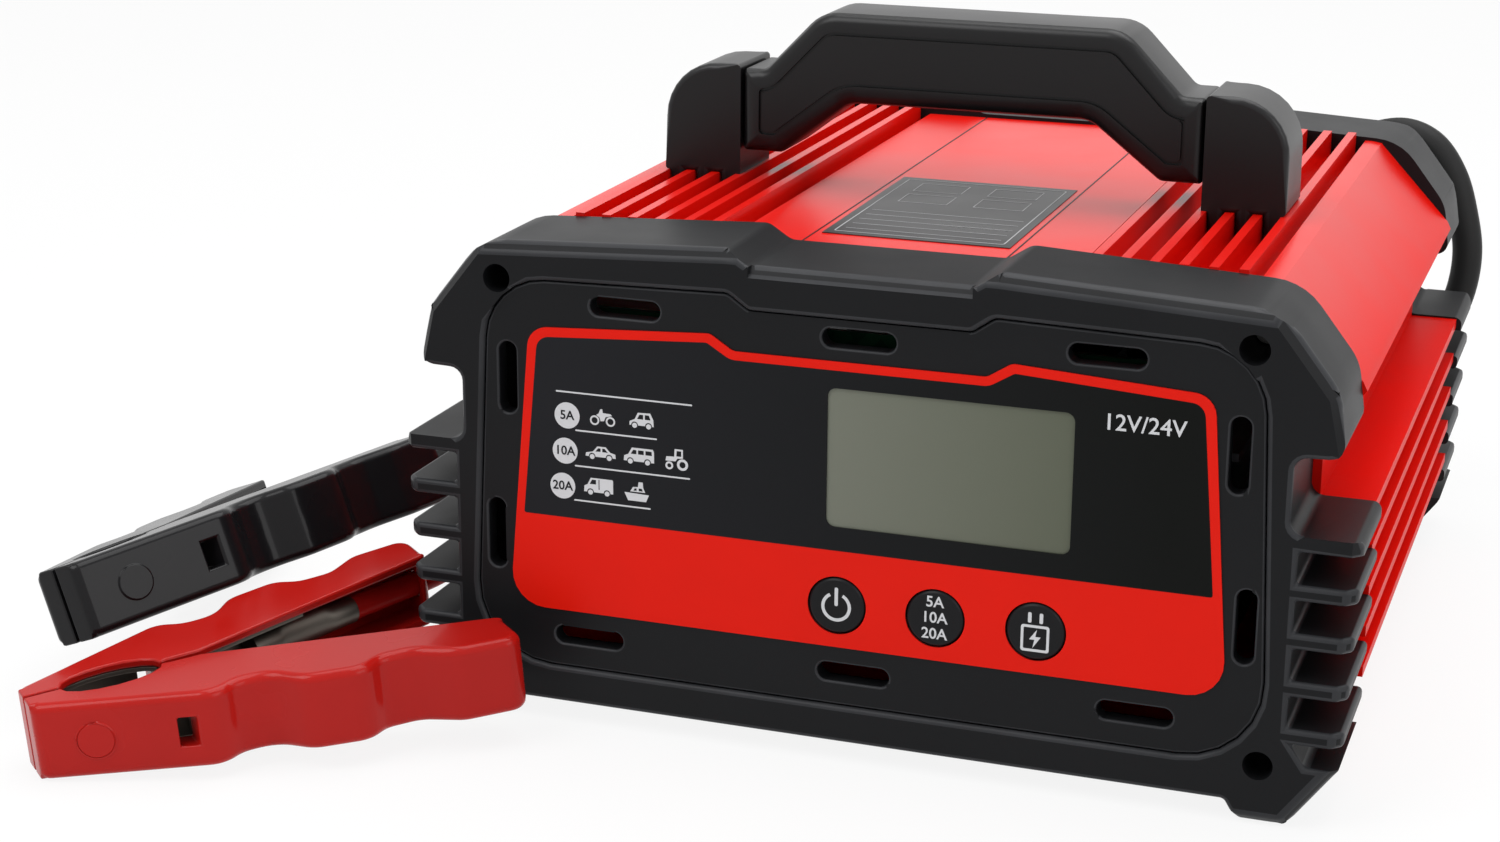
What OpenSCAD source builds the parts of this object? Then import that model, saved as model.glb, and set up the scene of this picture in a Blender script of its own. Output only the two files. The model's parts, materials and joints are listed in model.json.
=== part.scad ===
// Car battery charger: finned metal case between two plastic end bezels, folding carry handle,
// front panel with display and three buttons, fan at the rear, output lead with two battery clamps.
// Frame: X to the right seen from the front, Y to the rear, Z up, origin under the middle of the case.

/* [Case] */
// Depth of the charger over both bezels
case_d = 228; // [205:1:250]
// Depth of each end bezel
bezel_d = 30; // [26:1:34]
// Height of the bezel's raised top edge above the table
bezel_h = 117.5; // [116:0.5:120]
// How far the middle of the top edge is lowered
top_step = 3.5; // [2:0.5:4]
// Half width of the bezel over its side ribs
rib_x = 111; // [109:0.5:114]
// Width of the bevel around the bezel's front face
edge_in = 2.2; // [1.5:0.1:2.5]
// Depth of that bevel
edge_d = 2.6; // [2:0.1:3]
// Front wall of the bezel
bezel_wall = 3.4; // [3:0.1:4]
// Thickness of the case's sheet wall
shell_wall = 3; // [2.5:0.1:3.5]

/* [Side ribs] */
// Height of the top of the ledge over the ribs
ledge_z = 67; // [65:0.5:69]
// Height of the open notch over the ledge
notch_h = 17; // [14:0.5:19]
// Depth of the notch measured in from the rib line
notch_in = 15.5; // [14:0.5:17]
// Number of open slots between the ribs
slot_count = 5; // [4:1:5]
// Spacing of the ribs
rib_pitch = 10.9; // [10.5:0.1:11]
// Thickness of a rib
rib_t = 3.6; // [3:0.1:4]

/* [Fins] */
// Number of top ridges on each side
ridge_count = 6; // [5:1:6]
// Spacing of the top ridges
ridge_pitch = 6.6; // [6.4:0.1:6.8]
// Thickness of a ridge
ridge_t = 2.2; // [1.8:0.1:2.6]
// Height of the ridge tops above the table
ridge_z = 116; // [115:0.5:116]
// Depth of the valleys between the ridges
ridge_h = 7.5; // [6:0.5:8]
// Spacing of the side fins
fin_pitch = 9.6; // [9:0.1:10]

/* [Front panel] */
// Half width of the label at its top edge
label_top_x = 78.4; // [76:0.2:80]
// Half width of the label at its bottom edge
label_low_x = 84.2; // [82:0.2:85]
// Height of the label's lower edge
label_low_z = 28; // [27:0.5:30]
// Distance of the label's top edge below the bezel's top edge
label_drop = 19.3; // [18.5:0.1:20.5]
// Thickness of the printed label
label_t = 0.4; // [0.3:0.1:0.5]
// Width of the display opening
lcd_w = 56.4; // [54:0.2:58]
// Height of the display opening
lcd_h = 33; // [32:0.2:34]
// Middle of the display, across
lcd_x = 21; // [19:0.5:23]
// Middle of the display, up
lcd_z = 72.6; // [72:0.2:73]
// Diameter of a push button
button_d = 13.2; // [12:0.2:14]
// Spacing of the buttons
button_pitch = 22.9; // [22:0.1:24]
// Height of the row of buttons
button_z = 38; // [37.5:0.1:39]
// Travel of a button
button_travel = 0.8; // [0.6:0.1:0.8]
// Length of a vent slot
vent_len = 17; // [15:0.5:18]
// Width of a vent slot
vent_w = 4.4; // [4:0.1:4.8]

/* [Handle] */
// Half distance between the seams of the grip
seam_x = 58; // [57:0.5:59]
// Width of a handle block
block_w = 20; // [18:0.5:21]
// Depth of the handle, front to rear
handle_d = 22; // [20:0.5:24]
// Height of the top of the blocks
block_z = 143.5; // [142:0.5:145]
// Height of the top of the grip
grip_z = 157.5; // [156:0.5:159]
// Thickness of the grip
grip_t = 22; // [21:0.5:23]
// Height of the fold axis
pivot_z = 132; // [131.5:0.5:133]
// Distance of the handle in front of the middle of the case
handle_y = 18; // [10:1:30]

/* [Fan and inlet] */
// Size of the fan
fan_size = 60; // [58:1:62]
// Depth of the fan
fan_d = 15; // [14:0.5:16]
// Number of blades
blade_count = 7; // [5:1:9]

/* [Leads and clamps] */
// Diameter of the output lead
cord_d = 8.6; // [8:0.1:9]
// Diameter of a single clamp lead
lead_d = 6; // [5.5:0.1:6.4]
// Length of a clamp over its handles
clamp_len = 106; // [103:1:108]
// Height of a clamp lying on its side
clamp_h = 18.5; // [17.5:0.5:19]
// Wall of a clamp cover
cover_t = 2; // [1.8:0.1:2.2]
// Distance of the clamp's pivot from the jaw tip
clamp_pivot = 37; // [36.5:0.5:38]

/* [Hidden] */
$fn = 48;

plastic = [0.13, 0.14, 0.15];
red = [0.86, 0.07, 0.05];
black = [0.05, 0.05, 0.06];
steel = [0.72, 0.73, 0.74];
green = [0.05, 0.3, 0.16];

// Running clearance, sliding clearance and the gap left around parts that only sit in place
run_gap = 0.05;
slide_gap = 0.3;
seat_gap = 0.25;

front_y = -case_d / 2;
shell_y0 = front_y + bezel_d;
shell_len = case_d - 2 * bezel_d;

// Screw places, seen from the front: upper pair and lower pair
screw_top = [86, bezel_h - 11.1];
screw_low = [92, 14];
screw_places = [
  [screw_top[0], screw_top[1]], [-screw_top[0], screw_top[1]],
  [screw_low[0], screw_low[1]], [-screw_low[0], screw_low[1]]
];
boss_r = 6;
screw_head_r = 3;
screw_hole_r = 3.3;
screw_r = 1.5;
screw_seat = 20;
screw_head_h = 2.6;
port_len = 12;
screw_len = screw_head_h + bezel_d - screw_seat + port_len - 2;

// Points of a rounded corner at q between p and s
function unit(v) = v / norm(v);
function corner(p, q, s, n) =
  let (
    a = [q[0], q[1]],
    u = unit([p[0], p[1]] - a),
    v = unit([s[0], s[1]] - a),
    half = acos(max(-1, min(1, u * v))) / 2,
    r = q[2]
  )
  (r <= 0 || half > 89) ? [a] :
  let (
    c = a + unit(u + v) * r / sin(half),
    s0 = a + u * r / tan(half) - c,
    turn = 180 - 2 * half,
    sgn = (u[0] * v[1] - u[1] * v[0]) < 0 ? 1 : -1
  )
  [for (i = [0 : n]) let (t = sgn * turn * i / n)
    c + [s0[0] * cos(t) - s0[1] * sin(t), s0[0] * sin(t) + s0[1] * cos(t)]];
function rounded(pts, n = 6) =
  [for (i = [0 : len(pts) - 1])
    each corner(pts[(i + len(pts) - 1) % len(pts)], pts[i], pts[(i + 1) % len(pts)], n)];

// A corner list moved outward by d, radii growing on outer corners and shrinking on inner ones,
// down to the least radius
function out_normal(p, q) = let (e = unit([q[0] - p[0], q[1] - p[1]])) [e[1], -e[0]];
function grown(pts, d, least = 0.2) =
  [for (i = [0 : len(pts) - 1])
    let (
      p = pts[(i + len(pts) - 1) % len(pts)],
      q = pts[i],
      s = pts[(i + 1) % len(pts)],
      n1 = out_normal(p, q),
      n2 = out_normal(q, s),
      m = (n1 + n2) / (1 + n1 * n2),
      outer = n1[0] * n2[1] - n1[1] * n2[0] > 0
    )
    [q[0] + m[0] * d, q[1] + m[1] * d, max(least, q[2] + (outer ? d : -d))]];

// A full corner list from its right half, which runs from the bottom up
function mirrored(half) =
  concat(half, [for (i = [len(half) - 1 : -1 : 0]) [-half[i][0], half[i][1], half[i][2]]]);

// Solid of an outline in X and Z, from y0 to y1
module prism_y(pts, y0, y1) {
  translate([0, y1, 0])
    rotate([90, 0, 0])
      linear_extrude(y1 - y0)
        polygon(pts);
}

module rod_y(r, y0, y1, x, z) {
  translate([x, y1, z])
    rotate([90, 0, 0])
      cylinder(r = r, h = y1 - y0);
}

module both_sides() {
  children();
  mirror([1, 0, 0])
    children();
}

// Skin through rings of equal length: each ring is a list of points in space
module skin(rings, arched = false) {
  n = len(rings[0]);
  m = len(rings);
  polyhedron(
    points = [for (r = rings) each r],
    faces = concat(
      arched ? arch_cap(n) : [[for (i = [0 : n - 1]) i]],
      [for (j = [0 : m - 2], i = [0 : n - 1])
        [j * n + i, (j + 1) * n + i, j * n + (i + 1) % n]],
      [for (j = [0 : m - 2], i = [0 : n - 1])
        [j * n + (i + 1) % n, (j + 1) * n + i, (j + 1) * n + (i + 1) % n]],
      arched
        ? [for (f = arch_cap(n)) [for (i = [3 : -1 : 0]) (m - 1) * n + f[i]]]
        : [[for (i = [n - 1 : -1 : 0]) (m - 1) * n + i]]
    ),
    convexity = 6
  );
}

// Cap of a mirrored arch of n points: four-sided faces from its lower edge up to its upper one
function arch_cap(n) =
  let (h = n / 2)
  concat(
    [[0, h - 1, h, n - 1]],
    [for (i = [0 : n / 4 - 2]) each [
      [i, i + 1, h - 2 - i, h - 1 - i],
      [h + i, h + i + 1, n - 2 - i, n - 1 - i]
    ]]
  );

// Bezel: frame with a bevelled front edge, notch, ledge and ribs on both sides
foot_z = 5;
step_x = 25.5;
horn_z = ledge_z + notch_h;
notch_x = rib_x - notch_in;
bezel_half = [
  [85, foot_z, 1.5], [88, 0, 1.5], [98.5, 0, 6], [rib_x - 1.5, 15, 8], [rib_x, ledge_z, 2],
  [notch_x, ledge_z, 3], [notch_x, horn_z, 3], [rib_x - 5, horn_z + 0.3, 3],
  [rib_x - 7, horn_z + 14, 12], [91, bezel_h - 3, 14], [step_x + 5.5, bezel_h, 4],
  [step_x, bezel_h - top_step, 4]
];
bezel_outline = mirrored(bezel_half);
// Outer corners that the bevel runs between, left out where the outline turns inward
rim = mirrored([for (i = [2, 3, 4, 8, 9, 10]) bezel_half[i]]);
hollow_x = notch_x - 3;
hollow_outline = mirrored([[hollow_x, 9, 4], [hollow_x, horn_z + 12, 4], [83, bezel_h - 7.5, 4]]);
panel_outline = mirrored([
  [93, 14, 18], [88.5, bezel_h - 11.3, 15], [step_x + 5, bezel_h - 9.9, 3],
  [step_x, bezel_h - 9.9 - top_step, 3]
]);
label_top_z = bezel_h - label_drop;
label_outline = mirrored([
  [label_low_x, label_low_z, 8], [label_top_x, label_top_z - 2.6, 5], [step_x + 9, label_top_z, 3],
  [step_x + 3.5, label_top_z - top_step, 3]
]);

// Wedge that bevels the front edge between two corners, run past them by spare
module bevel(p, q, spare) {
  u = [q[0] - p[0], q[1] - p[1]];
  translate([p[0], 0, p[1]])
    rotate([0, -atan2(u[1], u[0]), 0])
      translate([-spare, 0, 0])
        rotate([90, 0, 90])
          linear_extrude(norm(u) + 2 * spare)
            polygon([[-edge_d, 2 * edge_in], [2 * edge_d, -edge_in], [-edge_d, -edge_in]]);
}

// Space inside a bezel, left solid around the screws
module bezel_hollow() {
  difference() {
    prism_y(rounded(hollow_outline), bezel_wall, bezel_d + 1);
    for (s = screw_places)
      rod_y(boss_r, 0, bezel_d + 2, s[0], s[1]);
  }
}

// Open slots between the side ribs
slot_in = notch_x + 2;
slot_h = rib_pitch - rib_t;
low_slot_z = ledge_z - rib_t - (slot_count - 1) * rib_pitch;
low_slot_h = 5;
module side_slots() {
  for (i = [0 : slot_count - 2])
    translate([slot_in, -1, ledge_z - rib_t - i * rib_pitch - slot_h])
      cube([40, bezel_d + 2, slot_h]);
  prism_y([
    [slot_in + 1, low_slot_z], [slot_in + 4.5, low_slot_z - low_slot_h],
    [slot_in + 40, low_slot_z - low_slot_h], [slot_in + 40, low_slot_z]
  ], -1, bezel_d + 1);
}

// The bezel stands with its front face at y = 0 and reaches back to bezel_d
module bezel() {
  difference() {
    prism_y(rounded(bezel_outline, 5), 0, bezel_d);
    for (i = [0 : len(rim) - 1])
      bevel(rim[i], rim[(i + 1) % len(rim)], 4);
    bevel([step_x, bezel_h - top_step], [-step_x, bezel_h - top_step], 0);
    bezel_hollow();
    prism_y(rounded(grown(panel_outline, seat_gap)), -1, bezel_wall + 1);
    for (s = screw_places) {
      rod_y(screw_hole_r, -1, screw_seat, s[0], s[1]);
      rod_y(screw_r + 0.3, screw_seat - 1, bezel_d + 1, s[0], s[1]);
    }
    both_sides()
      side_slots();
  }
}

module front_bezel() {
  color(plastic)
    translate([0, front_y, 0])
      bezel();
}

module rear_bezel() {
  color(plastic)
    mirror([0, 1, 0])
      translate([0, front_y, 0])
        bezel();
}

// Case: extrusion with ridges on top, smooth upper sides and finned lower sides
shell_low_z = 9;
fin_x = rib_x - 1.5;
wall_x = fin_x - 6.5;
fin_t = 2.4;
fin_count = 5;
valley_z = ridge_z - ridge_h;
ridge_x0 = 45;
plate_z = ridge_z - 3;
function fin_points(i) =
  let (z = ledge_z - 0.5 - (fin_count - 1 - i) * fin_pitch)
  [[wall_x, z - fin_t], [fin_x, z - fin_t], [fin_x, z], [i == fin_count - 1 ? notch_x + 2 : wall_x, z]];
function ridge_points(i) =
  let (x = ridge_x0 + (ridge_count - 1 - i) * ridge_pitch)
  [[x + ridge_t / 2, valley_z], [x + ridge_t / 2, ridge_z],
    [x - ridge_t / 2, ridge_z], [x - ridge_t / 2, valley_z]];
ridge_end_x = ridge_x0 + (ridge_count - 1) * ridge_pitch + 3.6;
shell_half = concat(
  [[96, shell_low_z], [wall_x, shell_low_z + 7]],
  [for (i = [0 : fin_count - 1]) each fin_points(i)],
  [[notch_x + 2, horn_z - 3], [rib_x - 5, horn_z + 7.5], [rib_x - 6, horn_z + 9.5]],
  [[86, plate_z + 0.6], [83.5, plate_z + 1], [ridge_end_x, plate_z + 1], [ridge_end_x, valley_z]],
  [for (i = [0 : ridge_count - 1]) each ridge_points(i)],
  [[ridge_x0 - 4, valley_z], [ridge_x0 - 4, plate_z]]
);
shell_outline = concat(
  shell_half,
  [for (i = [len(shell_half) - 1 : -1 : 0]) [-shell_half[i][0], shell_half[i][1]]]
);
floor_z = shell_low_z + shell_wall;
ceiling_z = valley_z - shell_wall;
shell_hollow = mirrored([
  [wall_x - 9, floor_z, 3], [wall_x - shell_wall, floor_z + 7, 3], [wall_x - shell_wall, ledge_z - 4, 3],
  [notch_x - 2, ledge_z, 3], [notch_x - 2, horn_z - 1, 3], [rib_x - 13, horn_z + 5, 3], [80, ceiling_z, 3]
]);

module body_shell() {
  color(red)
    difference() {
      prism_y(shell_outline, shell_y0, shell_y0 + shell_len);
      difference() {
        prism_y(rounded(shell_hollow, 4), shell_y0 - 1, shell_y0 + shell_len + 1);
        for (s = screw_places)
          rod_y(boss_r, shell_y0 - 2, shell_y0 + shell_len + 2, s[0], s[1]);
      }
      for (s = screw_places, e = [0, 1])
        rod_y(screw_r, e == 0 ? shell_y0 - 1 : shell_y0 + shell_len - port_len,
          e == 0 ? shell_y0 + port_len : shell_y0 + shell_len + 1, s[0], s[1]);
      for (s = [-1, 1], e = [-1, 1])
        translate([s * block_screw_x, -handle_y + e * block_screw_y, ceiling_z - 1])
          cylinder(r = screw_r + 0.2, h = 30);
    }
}

// Screw with its head's outer face at the origin, pointing along +Y
module screw_y(head_r, head_h, r, length) {
  difference() {
    union() {
      rod_y(head_r, 0, head_h, 0, 0);
      rod_y(r, head_h - 0.5, length, 0, 0);
    }
    for (a = [0, 90])
      rotate([0, a, 0])
        translate([-head_r * 0.6, -1, -0.4])
          cube([head_r * 1.2, 2, 0.8]);
  }
}

module bezel_screws() {
  for (s = screw_places)
    translate([s[0], screw_seat - screw_head_h, s[1]])
      screw_y(screw_head_r, screw_head_h, screw_r - run_gap, screw_len);
}

module front_screws() {
  color(steel)
    translate([0, front_y, 0])
      bezel_screws();
}

module rear_screws() {
  color(steel)
    mirror([0, 1, 0])
      translate([0, front_y, 0])
        bezel_screws();
}

// Panels: plug in the bezel's opening and a flange behind its front wall
flange_t = 2;
panel_back = bezel_wall + flange_t;
module panel(recess) {
  prism_y(rounded(panel_outline), recess, bezel_wall);
  difference() {
    prism_y(rounded(grown(hollow_outline, -0.4)), bezel_wall, panel_back);
    for (s = screw_places)
      rod_y(boss_r + 0.4, bezel_wall - 1, panel_back + 1, s[0], s[1]);
  }
}

// Vent places: across, up, and whether the slot lies along X
vents = [
  [-55, bezel_h - 15.7, true], [0, bezel_h - 17.6, true], [55, bezel_h - 15.7, true],
  [-64.5, 21.7, true], [0, 21.7, true], [64.5, 21.7, true],
  [-84, 83, false], [84, 83, false], [-87.4, 45, false], [87.4, 45, false]
];
recess = 0.8;
board_y = 14;
board_t = 1.6;
post_x = 70;
post_z = [31, 93];
post_r = 3;
post_hole_r = 1.3;
lens_margin = 3;

function box_outline(w, h, r, x, z) =
  rounded([for (c = [[1, -1], [1, 1], [-1, 1], [-1, -1]]) [x + c[0] * w / 2, z + c[1] * h / 2, r]], 4);
function lens_outline(gap) =
  box_outline(lcd_w + 2 * lens_margin - 2 * gap, lcd_h + 2 * lens_margin - 2 * gap, 2, lcd_x, lcd_z);
button_x = [for (i = [-1 : 1]) lcd_x - 2 + i * button_pitch];

module front_panel() {
  color(plastic)
    translate([0, front_y, 0])
      difference() {
        union() {
          panel(recess);
          for (x = [-post_x, post_x], z = post_z)
            rod_y(post_r, panel_back, board_y, x, z);
        }
        prism_y(lens_outline(0), -1, panel_back + 1);
        for (x = button_x)
          rod_y(button_d / 2 + slide_gap, -1, panel_back + 1, x, button_z);
        for (v = vents)
          vent_obround(v[0], v[1], v[2]);
        for (x = [-post_x, post_x], z = post_z)
          rod_y(post_hole_r, board_y - 7, board_y + 1, x, z);
      }
}

// Obround slot made of two rods and a block, so its ends stay true cylinders
module vent_obround(x, z, along) {
  h = vent_len / 2 - vent_w / 2;
  for (s = [-1, 1])
    rod_y(vent_w / 2, -1, panel_back + 1, x + (along ? s * h : 0), z + (along ? 0 : s * h));
  translate([x - (along ? h : vent_w / 2), -1, z - (along ? vent_w / 2 : h)])
    cube([along ? 2 * h : vent_w, panel_back + 2, along ? vent_w : 2 * h]);
}

module front_label() {
  color(red)
    translate([0, front_y, 0])
      difference() {
        prism_y(rounded(label_outline), recess - label_t, recess);
        prism_y(box_outline(lcd_w, lcd_h, 2.5, lcd_x, lcd_z), -1, recess + 1);
        for (x = button_x)
          rod_y(button_d / 2 + slide_gap, -1, recess + 1, x, button_z);
      }
}

lens_t = 2;
module lcd_window() {
  color([0.45, 0.47, 0.42])
    translate([0, front_y, 0])
      prism_y(lens_outline(seat_gap), recess, recess + lens_t);
}

module lcd_module() {
  color([0.2, 0.2, 0.21])
    translate([0, front_y, 0]) {
      prism_y(box_outline(lcd_w + 4, lcd_h + 4, 1, lcd_x, lcd_z), recess + lens_t, panel_back + 0.6);
      prism_y(box_outline(lcd_w + 10, lcd_h + 7, 1, lcd_x, lcd_z), panel_back + 0.6, board_y);
    }
}

// Buttons: cap, retaining flange behind the panel and a stem over its switch
cap_front = 0.1;
cap_edge = 0.6;
cap_flange_t = 1.2;
stem_r = 2;
stem_end = 9;
module button(i) {
  color(black)
    translate([button_x[i], front_y, button_z])
      rotate([-90, 0, 0]) {
        translate([0, 0, cap_front + cap_edge])
          cylinder(d = button_d, h = panel_back + slide_gap - cap_front);
        translate([0, 0, cap_front])
          cylinder(d1 = button_d - 2 * cap_edge, d2 = button_d, h = cap_edge);
        translate([0, 0, panel_back + slide_gap])
          cylinder(d = button_d + 3, h = cap_flange_t);
        translate([0, 0, panel_back])
          cylinder(r = stem_r, h = stem_end - panel_back);
      }
}

module start_button() {
  button(0);
}

module current_button() {
  button(1);
}

module repair_button() {
  button(2);
}

switch_h = 3;
module tact_switches() {
  color(steel)
    translate([0, front_y, 0])
      for (x = button_x) {
        translate([x - 3, board_y - switch_h, button_z - 3])
          cube([6, switch_h, 6]);
        rod_y(1.7, stem_end + button_travel + 0.1, board_y - switch_h + 0.5, x, button_z);
      }
}

module control_board() {
  color(green)
    translate([0, front_y, 0])
      difference() {
        translate([-post_x - 6, board_y, post_z[0] - 5])
          cube([2 * post_x + 12, board_t, post_z[1] - post_z[0] + 10]);
        for (x = [-post_x, post_x], z = post_z)
          rod_y(post_hole_r + 0.2, board_y - 1, board_y + board_t + 1, x, z);
      }
}

board_screw_len = 8;
module control_board_screws() {
  color(steel)
    translate([0, front_y, 0])
      for (x = [-post_x, post_x], z = post_z)
        translate([x, board_y + board_t + 1.6, z])
          mirror([0, 1, 0])
            screw_y(2.5, 1.6, post_hole_r - run_gap, board_screw_len);
}

// Main board on standoffs over the case floor
standoff_h = 8;
main_z = floor_z + standoff_h;
main_x = 76;
main_y = [-62, 62];
module standoff_places() {
  for (x = [-main_x + 6, main_x - 6], y = [main_y[0] + 6, main_y[1] - 6])
    translate([x, y, 0])
      children();
}

module main_board() {
  color(green)
    difference() {
      translate([-main_x, main_y[0], main_z])
        cube([2 * main_x, main_y[1] - main_y[0], board_t]);
      standoff_places()
        translate([0, 0, main_z - 1])
          cylinder(r = 1.7, h = board_t + 2);
    }
}

module main_board_standoffs() {
  color(steel)
    standoff_places()
      translate([0, 0, floor_z])
        difference() {
          cylinder(r = 3.5, h = standoff_h);
          translate([0, 0, 1])
            cylinder(r = screw_r, h = standoff_h);
        }
}

main_screw_len = 7;
module main_board_screws() {
  color(steel)
    standoff_places()
      translate([0, 0, main_z + board_t])
        rotate([-90, 0, 0])
          translate([0, -1.6, 0])
            screw_y(2.8, 1.6, screw_r - run_gap, main_screw_len);
}

// Transformer: window core with the winding around its middle leg
core_w = 46;
core_d = 30;
core_h = 38;
core_place = [-28, -8];
leg_w = 14;
window_w = 11;
window_h = 24;
deck_z = main_z + board_t;
module transformer_core() {
  color([0.25, 0.25, 0.27])
    translate([core_place[0], core_place[1], deck_z])
      difference() {
        translate([-core_w / 2, -core_d / 2, 0])
          cube([core_w, core_d, core_h]);
        for (s = [-1, 1])
          translate([s * (leg_w + window_w) / 2 - window_w / 2, -core_d, (core_h - window_h) / 2])
            cube([window_w, 2 * core_d, window_h]);
      }
}

module transformer_winding() {
  color([0.85, 0.7, 0.2])
    translate([core_place[0], core_place[1], deck_z + (core_h - window_h) / 2 + 0.2])
      difference() {
        translate([-leg_w / 2 - window_w + 0.4, -core_d / 2 - 7, 0])
          cube([leg_w + 2 * window_w - 0.8, core_d + 14, window_h - 0.4]);
        translate([-leg_w / 2 - 0.2, -core_d / 2 - 0.2, -1])
          cube([leg_w + 0.4, core_d + 0.4, window_h + 2]);
      }
}

// Heat sinks with fins to either side, and capacitors in a row behind them
sink_y = -50;
sink_len = 80;
sink_h = 44;
sink_web = 4;
sink_fin = 10;
sink_fin_t = 2;
sink_fin_pitch = 9;
sink_places = [28, 62];
module heat_sink() {
  translate([-sink_web / 2, 0, 0])
    cube([sink_web, sink_len, sink_h]);
  for (i = [0 : 4])
    translate([sink_web / 2 - 0.1, 0, sink_web + i * sink_fin_pitch])
      cube([sink_fin, sink_len, sink_fin_t]);
}

module heat_sinks() {
  color([0.6, 0.61, 0.62]) {
    translate([sink_places[0], sink_y, deck_z])
      mirror([1, 0, 0])
        heat_sink();
    translate([sink_places[1], sink_y, deck_z])
      heat_sink();
  }
}

cap_r = 9;
cap_h = 32;
cap_x = 18;
cap_pitch = 2 * cap_r + 2;
cap_y = sink_y + sink_len + cap_r + 1;
cap_rim = 1;
module capacitors() {
  color([0.1, 0.12, 0.2])
    for (i = [0 : 2])
      translate([cap_x + i * cap_pitch, cap_y, deck_z])
        difference() {
          cylinder(r = cap_r, h = cap_h);
          translate([0, 0, cap_h - cap_rim])
            difference() {
              cylinder(r = cap_r + 1, h = 2 * cap_rim);
              translate([0, 0, -1])
                cylinder(r = cap_r - cap_rim, h = 2 * cap_rim + 2);
            }
        }
}

// Rear panel with fan, inlet and gland
rear_recess = 2.6;
fan_x = -38;
fan_z = 60;
fan_hole_r = fan_size / 2 - 2;
fan_screw = fan_size / 2 - 5;
inlet_x = 42;
inlet_z = 38;
inlet_w = 27;
inlet_h = 20;
gland_x = 58;
gland_z = 86;
gland_r = 7;

// Rear pieces are drawn from the rear face inward, then turned to the back of the case
module at_rear() {
  translate([0, -front_y, 0])
    mirror([0, 1, 0])
      children();
}

module rear_panel() {
  color(plastic)
    at_rear()
      difference() {
        panel(rear_recess);
        rod_y(fan_hole_r, -1, panel_back + 1, fan_x, fan_z);
        for (sx = [-1, 1], sz = [-1, 1])
          rod_y(1.8, -1, panel_back + 1, fan_x + sx * fan_screw, fan_z + sz * fan_screw);
        translate([inlet_x - inlet_w / 2 - 0.2, -1, inlet_z - inlet_h / 2 - 0.2])
          cube([inlet_w + 0.4, panel_back + 2, inlet_h + 0.4]);
        rod_y(gland_r + 0.2, -1, panel_back + 1, gland_x, gland_z);
        for (i = [-2 : 2])
          vent_obround(-76, fan_z + i * 9, true);
      }
}

hub_r = 12;
shaft_r = 1.5;
spoke_d = 3;
module fan_frame() {
  color(black)
    at_rear()
      difference() {
        union() {
          difference() {
            prism_y(box_outline(fan_size, fan_size, 4, fan_x, fan_z), panel_back, panel_back + fan_d);
            rod_y(fan_hole_r, panel_back - 1, panel_back + fan_d + 1, fan_x, fan_z);
          }
          rod_y(hub_r, panel_back + fan_d - spoke_d, panel_back + fan_d, fan_x, fan_z);
          for (a = [45 : 90 : 315])
            translate([fan_x, 0, fan_z])
              rotate([0, a, 0])
                translate([-2, panel_back + fan_d - spoke_d, hub_r - 1])
                  cube([4, spoke_d, fan_hole_r - hub_r + 2]);
        }
        rod_y(shaft_r + run_gap, panel_back, panel_back + fan_d + 1, fan_x, fan_z);
        for (sx = [-1, 1], sz = [-1, 1])
          rod_y(1.8, 0, panel_back + fan_d + 1, fan_x + sx * fan_screw, fan_z + sz * fan_screw);
      }
}

blade_tip_r = fan_hole_r - 1;
module fan_rotor() {
  color(black)
    at_rear()
      translate([fan_x, panel_back + 1, fan_z]) {
        rod_y(hub_r, 0, fan_d - spoke_d - 1 - slide_gap, 0, 0);
        rod_y(shaft_r, 1, fan_d - 1, 0, 0);
        intersection() {
          rod_y(blade_tip_r, 0.2, fan_d - spoke_d - 1 - slide_gap, 0, 0);
          for (i = [0 : blade_count - 1])
            rotate([0, i * 360 / blade_count, 0])
              translate([0, (fan_d - spoke_d - 1) / 2, hub_r - 1])
                rotate([0, 0, 35])
                  translate([-9, -0.8, 0])
                    cube([18, 1.6, blade_tip_r]);
        }
      }
}

wire_r = 1;
guard_y = rear_recess - 2 * wire_r;
module fan_guard() {
  color(steel)
    at_rear() {
      for (r = [9, 15.5, 22, fan_hole_r + 1])
        translate([fan_x, rear_recess - wire_r, fan_z])
          rotate([90, 0, 0])
            rotate_extrude()
              translate([r, 0])
                circle(r = wire_r, $fn = 16);
      for (sx = [-1, 1], sz = [-1, 1])
        difference() {
          hull() {
            rod_y(3.4, guard_y, rear_recess, fan_x + sx * fan_screw, fan_z + sz * fan_screw, $fn = 32);
            rod_y(1, guard_y, rear_recess, fan_x + sx * 6, fan_z + sz * 6, $fn = 32);
          }
          rod_y(1.8, -1, rear_recess + 1, fan_x + sx * fan_screw, fan_z + sz * fan_screw);
          rod_y(7.5, -1, rear_recess + 1, fan_x, fan_z);
        }
    }
}

fan_screw_len = 14;
module fan_screws() {
  color(steel)
    at_rear()
      for (sx = [-1, 1], sz = [-1, 1])
        translate([fan_x + sx * fan_screw, guard_y - 0.5, fan_z + sz * fan_screw])
          screw_y(2.8, 0.5, 1.7, fan_screw_len);
}

inlet_wall = 2;
inlet_deep = 16;
inlet_flange = 3;
function inlet_outline(d) = box_outline(inlet_w + 2 * d, inlet_h + 2 * d, 3 + d / 4, inlet_x, inlet_z);
module mains_inlet() {
  color(black)
    at_rear()
      difference() {
        union() {
          prism_y(inlet_outline(inlet_flange), rear_recess - 2, rear_recess);
          prism_y(inlet_outline(0), rear_recess - 1, rear_recess + inlet_deep + 2);
        }
        prism_y(inlet_outline(-inlet_wall), -1, rear_recess + inlet_deep - 1);
        for (p = pin_places)
          translate([inlet_x + p[0] - pin_w / 2 - run_gap, 0, inlet_z + p[1] - pin_h / 2 - run_gap])
            cube([pin_w + 2 * run_gap, 40, pin_h + 2 * run_gap]);
      }
}

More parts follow.
